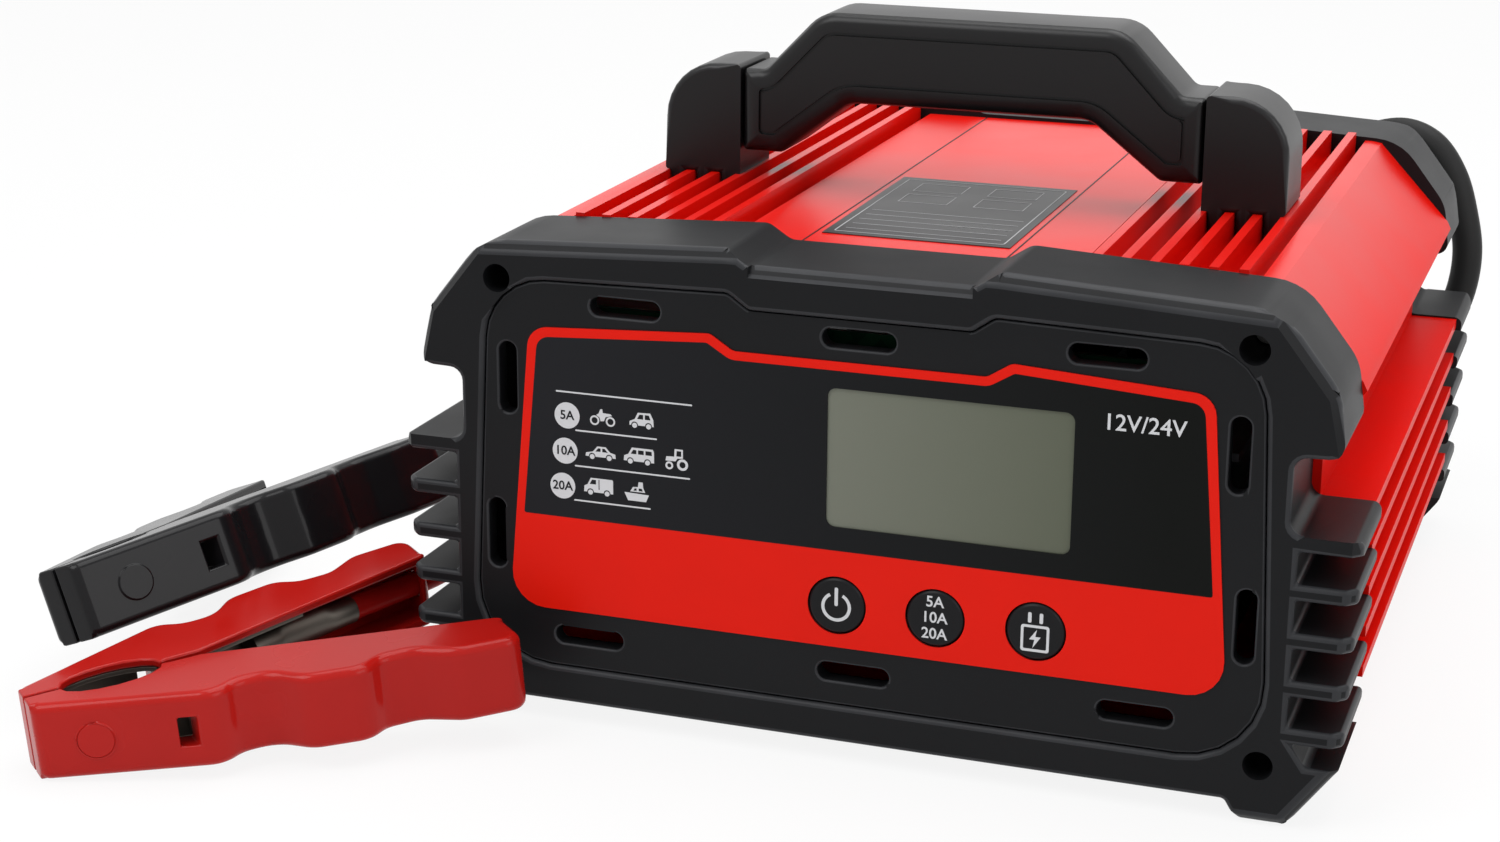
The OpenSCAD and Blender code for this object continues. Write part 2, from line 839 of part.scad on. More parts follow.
pin_w = 2;
pin_h = 4;
pin_places = [[-7, -2], [7, -2], [0, 3.5]];
module inlet_pins() {
  color([0.8, 0.68, 0.35])
    at_rear()
      for (p = pin_places)
        translate([inlet_x + p[0] - pin_w / 2, rear_recess + 1, inlet_z + p[1] - pin_h / 2])
          cube([pin_w, inlet_deep + 7, pin_h]);
}

// Gland: collar outside, nut inside and a tapered relief around the lead
relief_len = 14;
module cable_gland() {
  color(black)
    at_rear()
      translate([gland_x, 0, gland_z])
        difference() {
          union() {
            rod_y(gland_r, rear_recess - 1, panel_back + 7, 0, 0);
            rod_y(gland_r + 3, rear_recess - 3, rear_recess, 0, 0);
            translate([0, panel_back + 5, 0])
              rotate([90, 0, 0])
                cylinder(r = gland_r + 3.5, h = 5, $fn = 6);
            translate([0, rear_recess - 2, 0])
              rotate([90, 0, 0])
                cylinder(r1 = gland_r, r2 = cord_d / 2 + 1.4, h = relief_len);
          }
          rod_y(cord_d / 2 + 0.2, -40, 40, 0, 0);
        }
}

// Handle: two blocks seated on the ridges and a grip that folds between them
block_x = seam_x + block_w;
block_screw_x = ridge_x0 + 3.5 * ridge_pitch;
block_screw_y = 6;
pivot_r = 4;
pivot_in = 11;
module block() {
  difference() {
    union() {
      prism_y(rounded([
        [seam_x, ridge_z, 0], [block_x, ridge_z, 1], [block_x, block_z, 14], [seam_x, block_z, 1]
      ], 8), -handle_d / 2, handle_d / 2);
      for (i = [0 : ridge_count - 1])
        let (x = ridge_x0 + (i + 0.5) * ridge_pitch, w = ridge_pitch - ridge_t - 2 * seat_gap)
          if (x - w / 2 > seam_x && x + w / 2 < block_x)
            translate([x - w / 2, -handle_d / 2, valley_z])
              cube([w, handle_d, ridge_h + 1]);
    }
    translate([seam_x - 1, 0, pivot_z])
      rotate([0, 90, 0])
        cylinder(r = pivot_r, h = pivot_in + 1);
    for (e = [-1, 1])
      translate([block_screw_x, e * block_screw_y, valley_z - 1])
        cylinder(r = screw_r, h = 16);
  }
}

module handle_right_block() {
  color(black)
    translate([0, -handle_y, 0])
      block();
}

module handle_left_block() {
  color(black)
    mirror([1, 0, 0])
      translate([0, -handle_y, 0])
        block();
}

// Grip outline: arms at the seams, slanted shoulders and a raised bar
arm_top = block_z - 1;
arm_low = pivot_z - 10;
bar_low = grip_z - grip_t;
grip_half_x = seam_x - slide_gap;
grip_outline = mirrored([
  [30, bar_low, 7], [47.5, arm_low, 3], [grip_half_x, arm_low, 1],
  [grip_half_x, arm_top, 1], [52, arm_top, 3], [37.5, grip_z, 10]
]);
groove_in = 4.5;
groove_w = 0.8;
groove_r = 1.2;
module grip_ring(inset, w) {
  difference() {
    polygon(rounded(grown(grip_outline, -inset, groove_r)));
    polygon(rounded(grown(grip_outline, -inset - w, groove_r)));
  }
}

// Rings of the grip: place along its depth, as a share of half of it, and inset of the outline there
grip_rings = [[-1, 2.2], [-0.94, 0.75], [-0.8, 0], [0.8, 0], [0.94, 0.75], [1, 2.2]];
grip_corner_r = 0.7;
module handle_grip() {
  color(black)
    translate([0, -handle_y, 0])
      difference() {
        skin([for (r = grip_rings)
          [for (p = rounded(grown(grip_outline, -r[1], grip_corner_r), 5))
            [p[0], -r[0] * handle_d / 2, p[1]]]], arched = true);
        for (e = [-1, 1])
          translate([0, e * handle_d / 2 + groove_w, 0])
            rotate([90, 0, 0])
              linear_extrude(2 * groove_w)
                grip_ring(groove_in, groove_w);
        both_sides()
          translate([grip_half_x - pivot_in, 0, pivot_z])
            rotate([0, 90, 0])
              cylinder(r = pivot_r + run_gap, h = pivot_in + 1);
      }
}

module handle_pivots() {
  color(steel)
    both_sides()
      translate([grip_half_x - pivot_in + 0.5, -handle_y, pivot_z])
        rotate([0, 90, 0])
          cylinder(r = pivot_r, h = 2 * pivot_in - 0.5);
}

handle_screw_len = 14;
module handle_screws() {
  color(steel)
    for (s = [-1, 1], e = [-1, 1])
      translate([s * block_screw_x, -handle_y + e * block_screw_y, ceiling_z])
        rotate([90, 0, 0])
          translate([0, -1.8, 0])
            screw_y(2.9, 1.8, screw_r - run_gap, handle_screw_len);
}

sticker_w = 45;
sticker_d = 67;
sticker_y = -71;
module top_sticker() {
  color([0.16, 0.16, 0.17])
    translate([-sticker_w / 2, sticker_y, plate_z])
      cube([sticker_w, sticker_d, 0.2]);
}

// Swept tubes: a smooth line through hand-set points, with a frame carried along it
function spline_point(p, i, t) =
  let (
    n = len(p),
    a = i > 0 ? p[i - 1] : 2 * p[0] - p[1],
    b = p[i],
    c = p[i + 1],
    d = i + 2 < n ? p[i + 2] : 2 * p[n - 1] - p[n - 2]
  )
  0.5 * (2 * b + (c - a) * t + (2 * a - 5 * b + 4 * c - d) * t * t + (3 * b - a - 3 * c + d) * t * t * t);
function spline(p, steps) =
  concat([for (i = [0 : len(p) - 2], k = [0 : steps - 1]) spline_point(p, i, k / steps)], [p[len(p) - 1]]);
function tangent(p, i) = unit(p[min(i + 1, len(p) - 1)] - p[max(i - 1, 0)]);
function carried(n, t) = unit(n - t * (n * t));
function tube_rings(p, r, sides) =
  let (start = abs(tangent(p, 0)[2]) < 0.9 ? [0, 0, 1] : [1, 0, 0])
  [for (i = 0, n = carried(start, tangent(p, 0)); i < len(p);
      i = i + 1, n = i < len(p) ? carried(n, tangent(p, i)) : n)
    let (t = tangent(p, i), b = cross(t, n))
    [for (k = [0 : sides - 1]) p[i] + r * (cos(360 * k / sides) * n + sin(360 * k / sides) * b)]];

module tube(p, r, sides) {
  skin(tube_rings(p, r, sides));
}

// Output lead: out of the gland, over in an arc beside the case, then behind it to the coil
back_y = -front_y;
coil_place = [0, back_y + 68];
coil_turns = 2.0625;
coil_pitch = cord_d + 0.6;
coil_out_r = 54;
coil_low_z = cord_d / 2 + 1.8;
coil_step = cord_d + 0.5;
coil_start = 300;
gland_end_y = back_y - rear_recess + 2 + relief_len;
function coil_r(turn) = coil_out_r - coil_pitch * (turn < coil_turns ? turn : 2 * coil_turns - turn);
function coil_z(turn) = coil_low_z + coil_step * max(0, min(1, (turn - coil_turns + 0.25) / 0.5));
function coil_point(turn) =
  let (a = coil_start - 360 * turn)
  [coil_place[0] + coil_r(turn) * cos(a), coil_place[1] + coil_r(turn) * sin(a), coil_z(turn)];
coil_rings = 24;
coil_loops = [for (k = [0 : 2 * coil_turns * coil_rings]) coil_point(k / coil_rings)];
coil_in = coil_point(0) + cord_d * unit(coil_loops[0] - coil_loops[1]);
coil_end = coil_loops[len(coil_loops) - 1];
coil_exit = coil_end + cord_d * unit(coil_end - coil_loops[len(coil_loops) - 2]);
coil_line = concat([coil_in], coil_loops, [coil_exit]);

// Least distance between points of the coil that are more than a quarter turn apart
coil_gap = min([for (i = [0 : len(coil_line) - 1], j = [i + coil_rings / 4 : 1 : len(coil_line) - 1])
  norm(coil_line[i] - coil_line[j])]) - cord_d;
echo(coil_gap = coil_gap);

cord_route = [
  [gland_x, gland_end_y + 0.2, gland_z], [gland_x + 0.2, back_y + 24, gland_z + 0.3],
  [60, back_y + 34.5, 88.8], [65.5, back_y + 42, 94.8], [74, back_y + 44.5, 100.8],
  [84, back_y + 43.5, 103.3], [93, back_y + 41, 100.2], [99.6, back_y + 38.6, 91.8],
  [103.5, back_y + 36.7, 81], [105.6, back_y + 35.3, 70.5], [104.8, back_y + 34.3, 59.5],
  [101.2, back_y + 33.7, 48.5], [95.8, back_y + 33.6, 38.5], [89.2, back_y + 34, 29],
  [81.8, back_y + 34.5, 20], [73.5, back_y + 34.4, 11.7], [63.5, back_y + 33, coil_low_z + 0.2],
  coil_in + 12 * unit(coil_in - coil_loops[0]), coil_in
];

module output_cord() {
  color(black)
    tube(spline(cord_route, 4), cord_d / 2, 10);
}

module cord_coil() {
  color(black)
    tube(coil_line, cord_d / 2, 6);
}

// Strap around the bundle of the coil
tie_angle = 110;
tie_w = 12;
tie_t = 1.2;
module cord_tie() {
  in_r = coil_out_r - coil_pitch * coil_turns - cord_d / 2 - 0.6;
  out_r = coil_out_r + cord_d / 2 + 0.4;
  low = coil_low_z - cord_d / 2 - 0.3;
  high = coil_low_z + coil_step + cord_d / 2 + 0.3;
  color(plastic)
    translate([coil_place[0], coil_place[1], 0])
      rotate([0, 0, tie_angle])
        difference() {
          translate([in_r - tie_t, -tie_w / 2, low - tie_t])
            cube([out_r - in_r + 2 * tie_t, tie_w, high - low + 2 * tie_t]);
          translate([in_r, -tie_w, low])
            cube([out_r - in_r, 2 * tie_w, high - low]);
        }
}

// Tail of the output lead, down from the coil to the boot on the table
boot_place = [-72, back_y + 34, 5.7];
boot_turn = 180;
tail_route = [
  coil_exit, coil_exit + 8 * unit(coil_exit - coil_end), [-46, back_y + 23, 11],
  [-58, back_y + 31, 7], [-70, back_y + 34, 5.7], [-78, back_y + 34, 5.7]
];

module tail_cord() {
  color(black)
    tube(spline(tail_route, 3), cord_d / 2, 10);
}

// Boot where the two-core lead splits into a red and a black lead
boot_len = 36;
boot_w = 17;
boot_h = 11.2;
boot_bore = 8;
lead_side = lead_d / 2 + 1;
module split_boot() {
  color(plastic)
    translate(boot_place)
      rotate([0, 0, boot_turn])
        difference() {
          hull()
            for (x = [3, boot_len - 3], y = [-1, 1])
              translate([x, y * (x > 10 ? boot_w / 2 - 3 : 3.4), -boot_h / 2])
                cylinder(r = 3, h = boot_h, $fn = 32);
          translate([-1, 0, 0])
            rotate([0, 90, 0])
              cylinder(d = cord_d + 0.4, h = boot_bore);
          for (s = [-1, 1])
            translate([boot_len - boot_bore, s * lead_side, 0])
              rotate([0, 90, 0])
                cylinder(d = lead_d + 0.4, h = boot_bore + 1);
        }
}

// Clamps: each has its jaw tip's place and its roll, pitch and yaw
red_clamp = [[-170.6, front_y - 68.5, 0.2], [0, -5, 47.5]];
black_clamp = [[-179.7, front_y - 35.2, 17.7], [-22, 1.2, 80.5]];
function turn_x(p, a) = [p[0], p[1] * cos(a) - p[2] * sin(a), p[1] * sin(a) + p[2] * cos(a)];
function turn_y(p, a) = [p[0] * cos(a) + p[2] * sin(a), p[1], p[2] * cos(a) - p[0] * sin(a)];
function turn_z(p, a) = [p[0] * cos(a) - p[1] * sin(a), p[0] * sin(a) + p[1] * cos(a), p[2]];
function clamp_point(c, p) = c[0] + turn_z(turn_y(turn_x(p, c[1][0]), c[1][1]), c[1][2]);

module clamp_at(c) {
  translate(c[0])
    rotate(c[1])
      children();
}

// Back of one half seen from above, with two hollows for the fingers: place along the clamp, across, radius
back = [
  [0, 6.5, 3], [37, 24, 7], [43, 20.5, 7], [50, 21, 8], [56, 28.5, 8], [69, 32, 7],
  [74.5, 28.5, 5], [82, 29, 7], [90, 35.5, 8], [clamp_len, 38, 4]
];
function back_y(x) = lookup(x, [for (p = back) [p[0], p[1]]]);

// Oval bite between the jaws
jaw_gap = 0.5;
bite_x = 20;
bite_len = 11.5;
bite_h = 5.5;
function bite(grow) =
  [for (t = [0 : 22.5 : 180]) [bite_x - (bite_len + grow) * cos(t), jaw_gap + (bite_h + grow) * sin(t), 0]];
end_in_y = 24;
cover_outline = rounded(concat(
  [[0, jaw_gap, 0.4]],
  bite(0),
  [[clamp_pivot - 4, 1, 0.5], [clamp_pivot + 4, 1.2, 3], [clamp_len, end_in_y, 3]],
  [for (i = [len(back) - 1 : -1 : 0]) back[i]]
), 6);

// Inside of a cover: a straight-walled channel that stays a wall's thickness off the finger hollows
channel_back = [
  [cover_t, back_y(cover_t) - 1.1 * cover_t],
  [back[2][0], back[2][1] - cover_t], [back[3][0], back[3][1] - cover_t],
  [back[6][0], back[6][1] - cover_t], [back[7][0], back[7][1] - cover_t],
  [clamp_len - cover_t, back[9][1] - 2 * cover_t]
];
function channel_y(x) = lookup(x, channel_back);
cover_hollow = concat(
  [[cover_t, -1], [clamp_len - cover_t, -1]],
  [for (i = [len(channel_back) - 1 : -1 : 0]) channel_back[i]]
);

// The lead lies along the handle's back
lean = 17;
lead_y = channel_y(clamp_len - cover_t) - lead_d / 2 - 0.8;
function lead_point(x, side) = [x, side * (lead_y + (x - clamp_len) * tan(lean)), clamp_h / 2];

// Slot and round boss on the outer face of a cover
boss_x = 12;
boss_face_r = 4.2;
boss_face_t = 0.5;
hole_x = 30.7;
hole_w = 4;
hole_h = 7;
jaw_lean = atan2(back[1][1] - back[0][1], back[1][0]);
module cover_half(with_lead) {
  difference() {
    union() {
      linear_extrude(clamp_h)
        polygon(cover_outline);
      translate([boss_x, back_y(boss_x), clamp_h / 2])
        rotate([-90, 0, jaw_lean])
          translate([0, 0, -cover_t / 2])
            cylinder(r = boss_face_r, h = boss_face_t + cover_t / 2);
    }
    translate([0, 0, cover_t])
      linear_extrude(clamp_h - 2 * cover_t)
        polygon(cover_hollow);
    translate([hole_x - hole_w / 2, channel_y(hole_x) - 1, clamp_h / 2 - hole_h / 2])
      cube([hole_w, 20, hole_h]);
    if (with_lead)
      translate(lead_point(clamp_len - 8, 1))
        rotate([0, 90, lean])
          cylinder(d = lead_d + 0.6, h = 20);
  }
}

// Steel channel of one jaw, with toothed tip and pivot lugs; nest sets how far inside the covers it lies
steel_t = 1.2;
steel_end = 70;
steel_gap = 0.3;
lug_r = 6.5;
tooth = 2;
pin_r = 3;
base_nest = cover_t + steel_gap;
lever_nest = base_nest + steel_t + steel_gap;
jaw_x0 = cover_t + steel_gap;
function steel_line(inset) =
  [for (x = [steel_end, back[3][0], back[2][0], jaw_x0]) [x, channel_y(x) - steel_gap - inset]];
jaw_strip = concat(steel_line(0), [for (i = [3 : -1 : 0]) steel_line(steel_t)[i]]);
jaw_plate = concat(
  steel_line(0),
  [for (i = [0 : 2]) each [[jaw_x0 + i * tooth, 2.4], [jaw_x0 + (i + 0.5) * tooth, jaw_gap + 0.3]]],
  [for (p = bite(0.8)) [p[0], p[1]]],
  [[clamp_pivot, 1.4], [steel_end, channel_y(steel_end) - 12]]
);

module jaw_half(nest) {
  difference() {
    union() {
      for (z = [nest, clamp_h - nest - steel_t])
        translate([0, 0, z])
          linear_extrude(steel_t)
            union() {
              polygon(jaw_plate);
              translate([clamp_pivot, 0])
                circle(r = lug_r);
            }
      translate([0, 0, nest])
        linear_extrude(clamp_h - 2 * nest)
          polygon(jaw_strip);
    }
    translate([clamp_pivot, 0, 0])
      cylinder(r = pin_r + run_gap, h = clamp_h);
    translate([hole_x - hole_w / 2, channel_y(hole_x) - 5, clamp_h / 2 - hole_h / 2])
      cube([hole_w, 10, hole_h]);
  }
}

module clamp_pin() {
  translate([clamp_pivot, 0, cover_t + 0.15])
    cylinder(r = pin_r, h = clamp_h - 2 * cover_t - 0.3);
}

// Torsion spring around the pin, one leg in each handle
wire = 0.6;
curl_r = pin_r + wire + 0.4;
leg_turn = 14;
leg_len = 16;
curl_steps = 8;
curls = 3 + (360 - 2 * (90 + leg_turn)) / 360;
spring_room = clamp_h - 2 * (lever_nest + steel_t) - 2 * wire - 0.4;
curl_pitch = spring_room / curls;
spring_z0 = clamp_h / 2 - spring_room / 2;
function curl_point(k) =
  let (a = 90 + leg_turn + 360 * k)
  [clamp_pivot + curl_r * cos(a), curl_r * sin(a), spring_z0 + curl_pitch * k];
curl_line = [for (k = [0 : curls * curl_steps]) curl_point(k / curl_steps)];
curl_last = curl_point(curls);
spring_line = concat(
  [curl_point(0) + leg_len * [cos(leg_turn), sin(leg_turn), 0]],
  curl_line,
  norm(curl_last - curl_line[len(curl_line) - 1]) > 0.5 ? [curl_last] : [],
  [curl_last + leg_len * [cos(leg_turn), -sin(leg_turn), 0]]
);
echo(spring_gap = curl_pitch - 2 * wire);

module clamp_spring() {
  tube(spring_line, wire, 6);
}

// In the red clamp the far half is fixed to the lead, in the black clamp the near half
module red_clamp_base_cover() {
  color(red)
    clamp_at(red_clamp)
      cover_half(true);
}

module red_clamp_lever_cover() {
  color(red)
    clamp_at(red_clamp)
      mirror([0, 1, 0])
        cover_half(false);
}

module red_clamp_base_jaw() {
  color(steel)
    clamp_at(red_clamp)
      jaw_half(base_nest);
}

module red_clamp_lever_jaw() {
  color(steel)
    clamp_at(red_clamp)
      mirror([0, 1, 0])
        jaw_half(lever_nest);
}

module red_clamp_pin() {
  color(steel)
    clamp_at(red_clamp)
      clamp_pin();
}

module red_clamp_spring() {
  color(steel)
    clamp_at(red_clamp)
      clamp_spring();
}

module black_clamp_base_cover() {
  color(black)
    clamp_at(black_clamp)
      mirror([0, 1, 0])
        cover_half(true);
}

module black_clamp_lever_cover() {
  color(black)
    clamp_at(black_clamp)
      cover_half(false);
}

module black_clamp_base_jaw() {
  color(steel)
    clamp_at(black_clamp)
      mirror([0, 1, 0])
        jaw_half(base_nest);
}

module black_clamp_lever_jaw() {
  color(steel)
    clamp_at(black_clamp)
      jaw_half(lever_nest);
}

module black_clamp_pin() {
  color(steel)
    clamp_at(black_clamp)
      clamp_pin();
}

module black_clamp_spring() {
  color(steel)
    clamp_at(black_clamp)
      clamp_spring();
}

// Clamp leads: out of the boot, along the left of the case and into the fixed handles
lead_start = 80;
red_route = [
  [-101, back_y + 30, 5.7], [-110, back_y + 30, 5.7], [-119, back_y + 24, 4], [-121, back_y + 6, 3.2],
  [-120, 60, 3.2], [-121, 0, 3.2], [-119, front_y + 84, 5],
  clamp_point(red_clamp, lead_point(clamp_len + 14, 1)), clamp_point(red_clamp, lead_point(clamp_len, 1)),
  clamp_point(red_clamp, lead_point(lead_start, 1))
];
black_route = [
  [-101, back_y + 38, 5.7], [-110, back_y + 38, 5.7], [-123, back_y + 33, 4], [-129, back_y + 18, 3.2],
  [-128, 80, 3.4], [-129, 30, 4.4], [-127, front_y + 119, 14],
  clamp_point(black_clamp, lead_point(clamp_len + 14, -1)),
  clamp_point(black_clamp, lead_point(clamp_len, -1)), clamp_point(black_clamp, lead_point(lead_start, -1))
];

module red_lead() {
  color(red)
    tube(spline(red_route, 2), lead_d / 2, 8);
}

module black_lead() {
  color(black)
    tube(spline(black_route, 2), lead_d / 2, 8);
}

body_shell();
front_bezel();
rear_bezel();
front_panel();
front_label();
lcd_window();
lcd_module();
start_button();
current_button();
repair_button();
tact_switches();
control_board();
control_board_screws();
main_board();
main_board_standoffs();
main_board_screws();
transformer_core();
transformer_winding();
capacitors();
heat_sinks();
rear_panel();
fan_frame();
fan_rotor();
fan_guard();
fan_screws();
mains_inlet();
inlet_pins();
cable_gland();
handle_left_block();
handle_right_block();
handle_grip();
handle_pivots();
handle_screws();
front_screws();
rear_screws();
top_sticker();
output_cord();
cord_coil();
cord_tie();
tail_cord();
split_boot();
red_lead();
black_lead();
red_clamp_base_cover();
red_clamp_lever_cover();
red_clamp_base_jaw();
red_clamp_lever_jaw();
red_clamp_pin();
red_clamp_spring();
black_clamp_base_cover();
black_clamp_lever_cover();
black_clamp_base_jaw();
black_clamp_lever_jaw();
black_clamp_pin();
black_clamp_spring();
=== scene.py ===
# %% [markdown]
# # A car battery charger
# The imported solids are the frame of this lesson: they already have the charger's true sizes and
# places. Everything below dresses them.

import json
import math

import bmesh
import bpy
from mathutils import Euler, Matrix, Vector


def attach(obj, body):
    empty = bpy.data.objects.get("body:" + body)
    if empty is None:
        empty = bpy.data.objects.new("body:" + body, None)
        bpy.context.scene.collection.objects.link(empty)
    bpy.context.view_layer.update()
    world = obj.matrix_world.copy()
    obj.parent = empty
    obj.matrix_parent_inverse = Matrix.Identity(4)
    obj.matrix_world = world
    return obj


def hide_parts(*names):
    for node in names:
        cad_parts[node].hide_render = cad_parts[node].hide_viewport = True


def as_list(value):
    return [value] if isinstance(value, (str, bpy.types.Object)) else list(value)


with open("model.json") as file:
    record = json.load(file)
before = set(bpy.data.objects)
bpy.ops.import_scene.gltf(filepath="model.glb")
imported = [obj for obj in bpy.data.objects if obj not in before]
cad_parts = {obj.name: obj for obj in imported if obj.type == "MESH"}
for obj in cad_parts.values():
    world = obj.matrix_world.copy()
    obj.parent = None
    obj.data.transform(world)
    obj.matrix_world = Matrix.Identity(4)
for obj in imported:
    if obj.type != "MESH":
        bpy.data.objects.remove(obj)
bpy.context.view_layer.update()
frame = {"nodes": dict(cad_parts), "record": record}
nodes = frame["nodes"]
slot_of = {row["node"]: row["material_slot"] for row in frame["record"]["subparts"]}
body_of = {
    node: body
    for body, names in frame["record"]["behaviour"]["bodies"].items()
    for node in names
}
MM = 0.001


def metres(*millimetres):
    """A point or size given in millimetres, in metres."""
    return Vector(millimetres) * MM


# %% [markdown]
# ## Camera
# The photograph is taken from a little right of the front and a little above, with a long lens.
# A camera could be set by eye, but the case has enough straight edges to work it out from where
# they seem to meet, so the frame needs no shift and no crop.

# %% Camera
camera_at = metres(171.1, -663.8, 256.6)
azimuth, elevation, roll = (math.radians(angle) for angle in (19.60, 16.91, 0.37))
backward = Vector((
    math.sin(azimuth) * math.cos(elevation),
    -math.cos(azimuth) * math.cos(elevation),
    math.sin(elevation),
))
level = Vector((math.cos(azimuth), math.sin(azimuth), 0))
upright = backward.cross(level)
camera_right = level * math.cos(roll) + upright * math.sin(roll)
camera_up = upright * math.cos(roll) - level * math.sin(roll)
camera_turn = Matrix((camera_right, camera_up, backward)).transposed()
bpy.ops.object.camera_add(location=camera_at, rotation=camera_turn.to_euler())
camera = bpy.context.object
camera.data.sensor_width = 36
camera.data.lens = 65.808
camera.data.clip_start = 0.02
bpy.context.scene.camera = camera
print("camera", [round(v, 4) for v in camera.location])

# %% [markdown]
# ## Shader sums
# Every finish below is worked out with nodes. They could be placed and linked one by one, but that
# hides the idea. Here a small class stands for one socket and takes Python's own operators, so a
# sum in a finish reads like a sum, and one method adds any other node: its type, then its
# settings, then what its sockets hold.

# %% Shader sums
class Value:
    """What a node gives, with Python's operators for the Math nodes."""

    def __init__(self, recipe, socket):
        self.recipe = recipe
        self.socket = socket

    def sum(self, operation, first, second):
        """One Math node."""
        return self.recipe.add("ShaderNodeMath", {"operation": operation}, {0: first, 1: second})

    def __add__(self, other):
        return self.sum("ADD", self, other)

    def __sub__(self, other):
        return self.sum("SUBTRACT", self, other)

    def __mul__(self, other):
        return self.sum("MULTIPLY", self, other)

    def __gt__(self, other):
        return self.sum("GREATER_THAN", self, other)

    def __rsub__(self, other):
        return self.sum("SUBTRACT", other, self)

    __radd__ = __add__
    __rmul__ = __mul__

    def most(self, other):
        """The larger of two values."""
        return self.sum("MAXIMUM", self, other)


class Recipe:
    """A node tree that is being filled."""

    def __init__(self, tree):
        self.nodes = tree.nodes
        self.links = tree.links

    def feed(self, socket, value):
        """Links a value to a socket, or sets the socket to a constant."""
        if isinstance(value, Value):
            self.links.new(value.socket, socket)
        else:
            socket.default_value = value

    def add(self, kind, settings=None, sockets=None, out=0):
        """Adds a node and gives one of its outputs."""
        node = self.nodes.new(kind)
        for name, value in (settings or {}).items():
            setattr(node, name, value)
        for name, value in (sockets or {}).items():
            self.feed(node.inputs[name], value)
        return Value(self, node.outputs[out])


print("shader sums ready")

# %% [markdown]
# ## Studio
# The charger stands on a white table in a white room. More light could make the room white, but
# it would wash out the colours too. So the floor and the world look white only to the camera and
# to shiny parts, and light the object at a plain level. A part of the floor's white is ordinary
# diffuse paint, so the charger keeps its soft shadow.

# %% Studio world
ROOM_LIGHT = 0.40
bpy.context.scene.view_settings.view_transform = "Standard"
world = bpy.data.worlds.new("studio")
bpy.context.scene.world = world
world.use_nodes = True
room = Recipe(world.node_tree)


def seen_directly(recipe):
    """1 for rays of the camera, of gloss and of glass, 0 for light on the object."""
    path = recipe.nodes.new("ShaderNodeLightPath").outputs
    seen = Value(recipe, path["Is Camera Ray"])
    for kind in ("Is Glossy Ray", "Is Transmission Ray"):
        seen = seen.most(Value(recipe, path[kind]))
    return seen


background = world.node_tree.nodes["Background"]
background.inputs["Color"].default_value = (1, 1, 1, 1)
room.feed(background.inputs["Strength"], seen_directly(room) * (1 - ROOM_LIGHT) + ROOM_LIGHT)
print("room light", ROOM_LIGHT)

# %% Studio floor
FLOOR_GLOW = 0.88
FLOOR_R = 3
bpy.ops.object.select_all(action="DESELECT")
bpy.ops.mesh.primitive_circle_add(vertices=96, radius=FLOOR_R, fill_type="NGON")
floor = bpy.context.object
floor.name = "studio_floor"
floor_white = bpy.data.materials.new("studio_white")
floor_white.use_nodes = True
table = Recipe(floor_white.node_tree)
table_paint = floor_white.node_tree.nodes["Principled BSDF"]
table_paint.inputs["Base Color"].default_value = (0.86, 0.86, 0.86, 1)
table_paint.inputs["Roughness"].default_value = 0.4
table_paint.inputs["Specular IOR Level"].default_value = 0.2
glow = table.add("ShaderNodeEmission", None, {"Color": (1, 1, 1, 1), "Strength": 1})
shown = table.add("ShaderNodeMixShader", None, {
    0: seen_directly(table) * FLOOR_GLOW, 1: Value(table, table_paint.outputs[0]), 2: glow,
})
table.links.new(shown.socket, floor_white.node_tree.nodes["Material Output"].inputs["Surface"])
floor.data.materials.append(floor_white)
print("floor", floor.name)

# %% Studio lamps
# Each lamp's name, place and size in metres, and power in watts.
LAMPS = (
    ("key_lamp", (-0.55, -0.75, 1.15), 0.8, 8.4),
    ("top_lamp", (0.15, 0.25, 1.35), 1.2, 14.5),
    ("side_lamp", (1.05, -0.45, 0.65), 0.7, 3),
)
LAMP_TARGET = Vector((-0.04, -0.03, 0.06))
for lamp_name, lamp_at, lamp_size, watts in LAMPS:
    aim = LAMP_TARGET - Vector(lamp_at)
    bpy.ops.object.light_add(
        type="AREA", location=lamp_at, rotation=aim.to_track_quat("-Z", "Y").to_euler()
    )
    lamp = bpy.context.object
    lamp.name = lamp_name
    lamp.data.size = lamp_size
    lamp.data.energy = watts
    print(lamp_name, watts, "W")

# %% [markdown]
# ## Finishes
# The charger is moulded plastic, powder-coated metal, printed film and a few bare metals. A flat
# colour would pass from far off, but not close up. So each finish is mixed from a slow cloud,
# which moves its tone and gloss a little, and a fine grain of the right size, which dents its
# surface. Patterns read Object coordinates, so they stay in place.

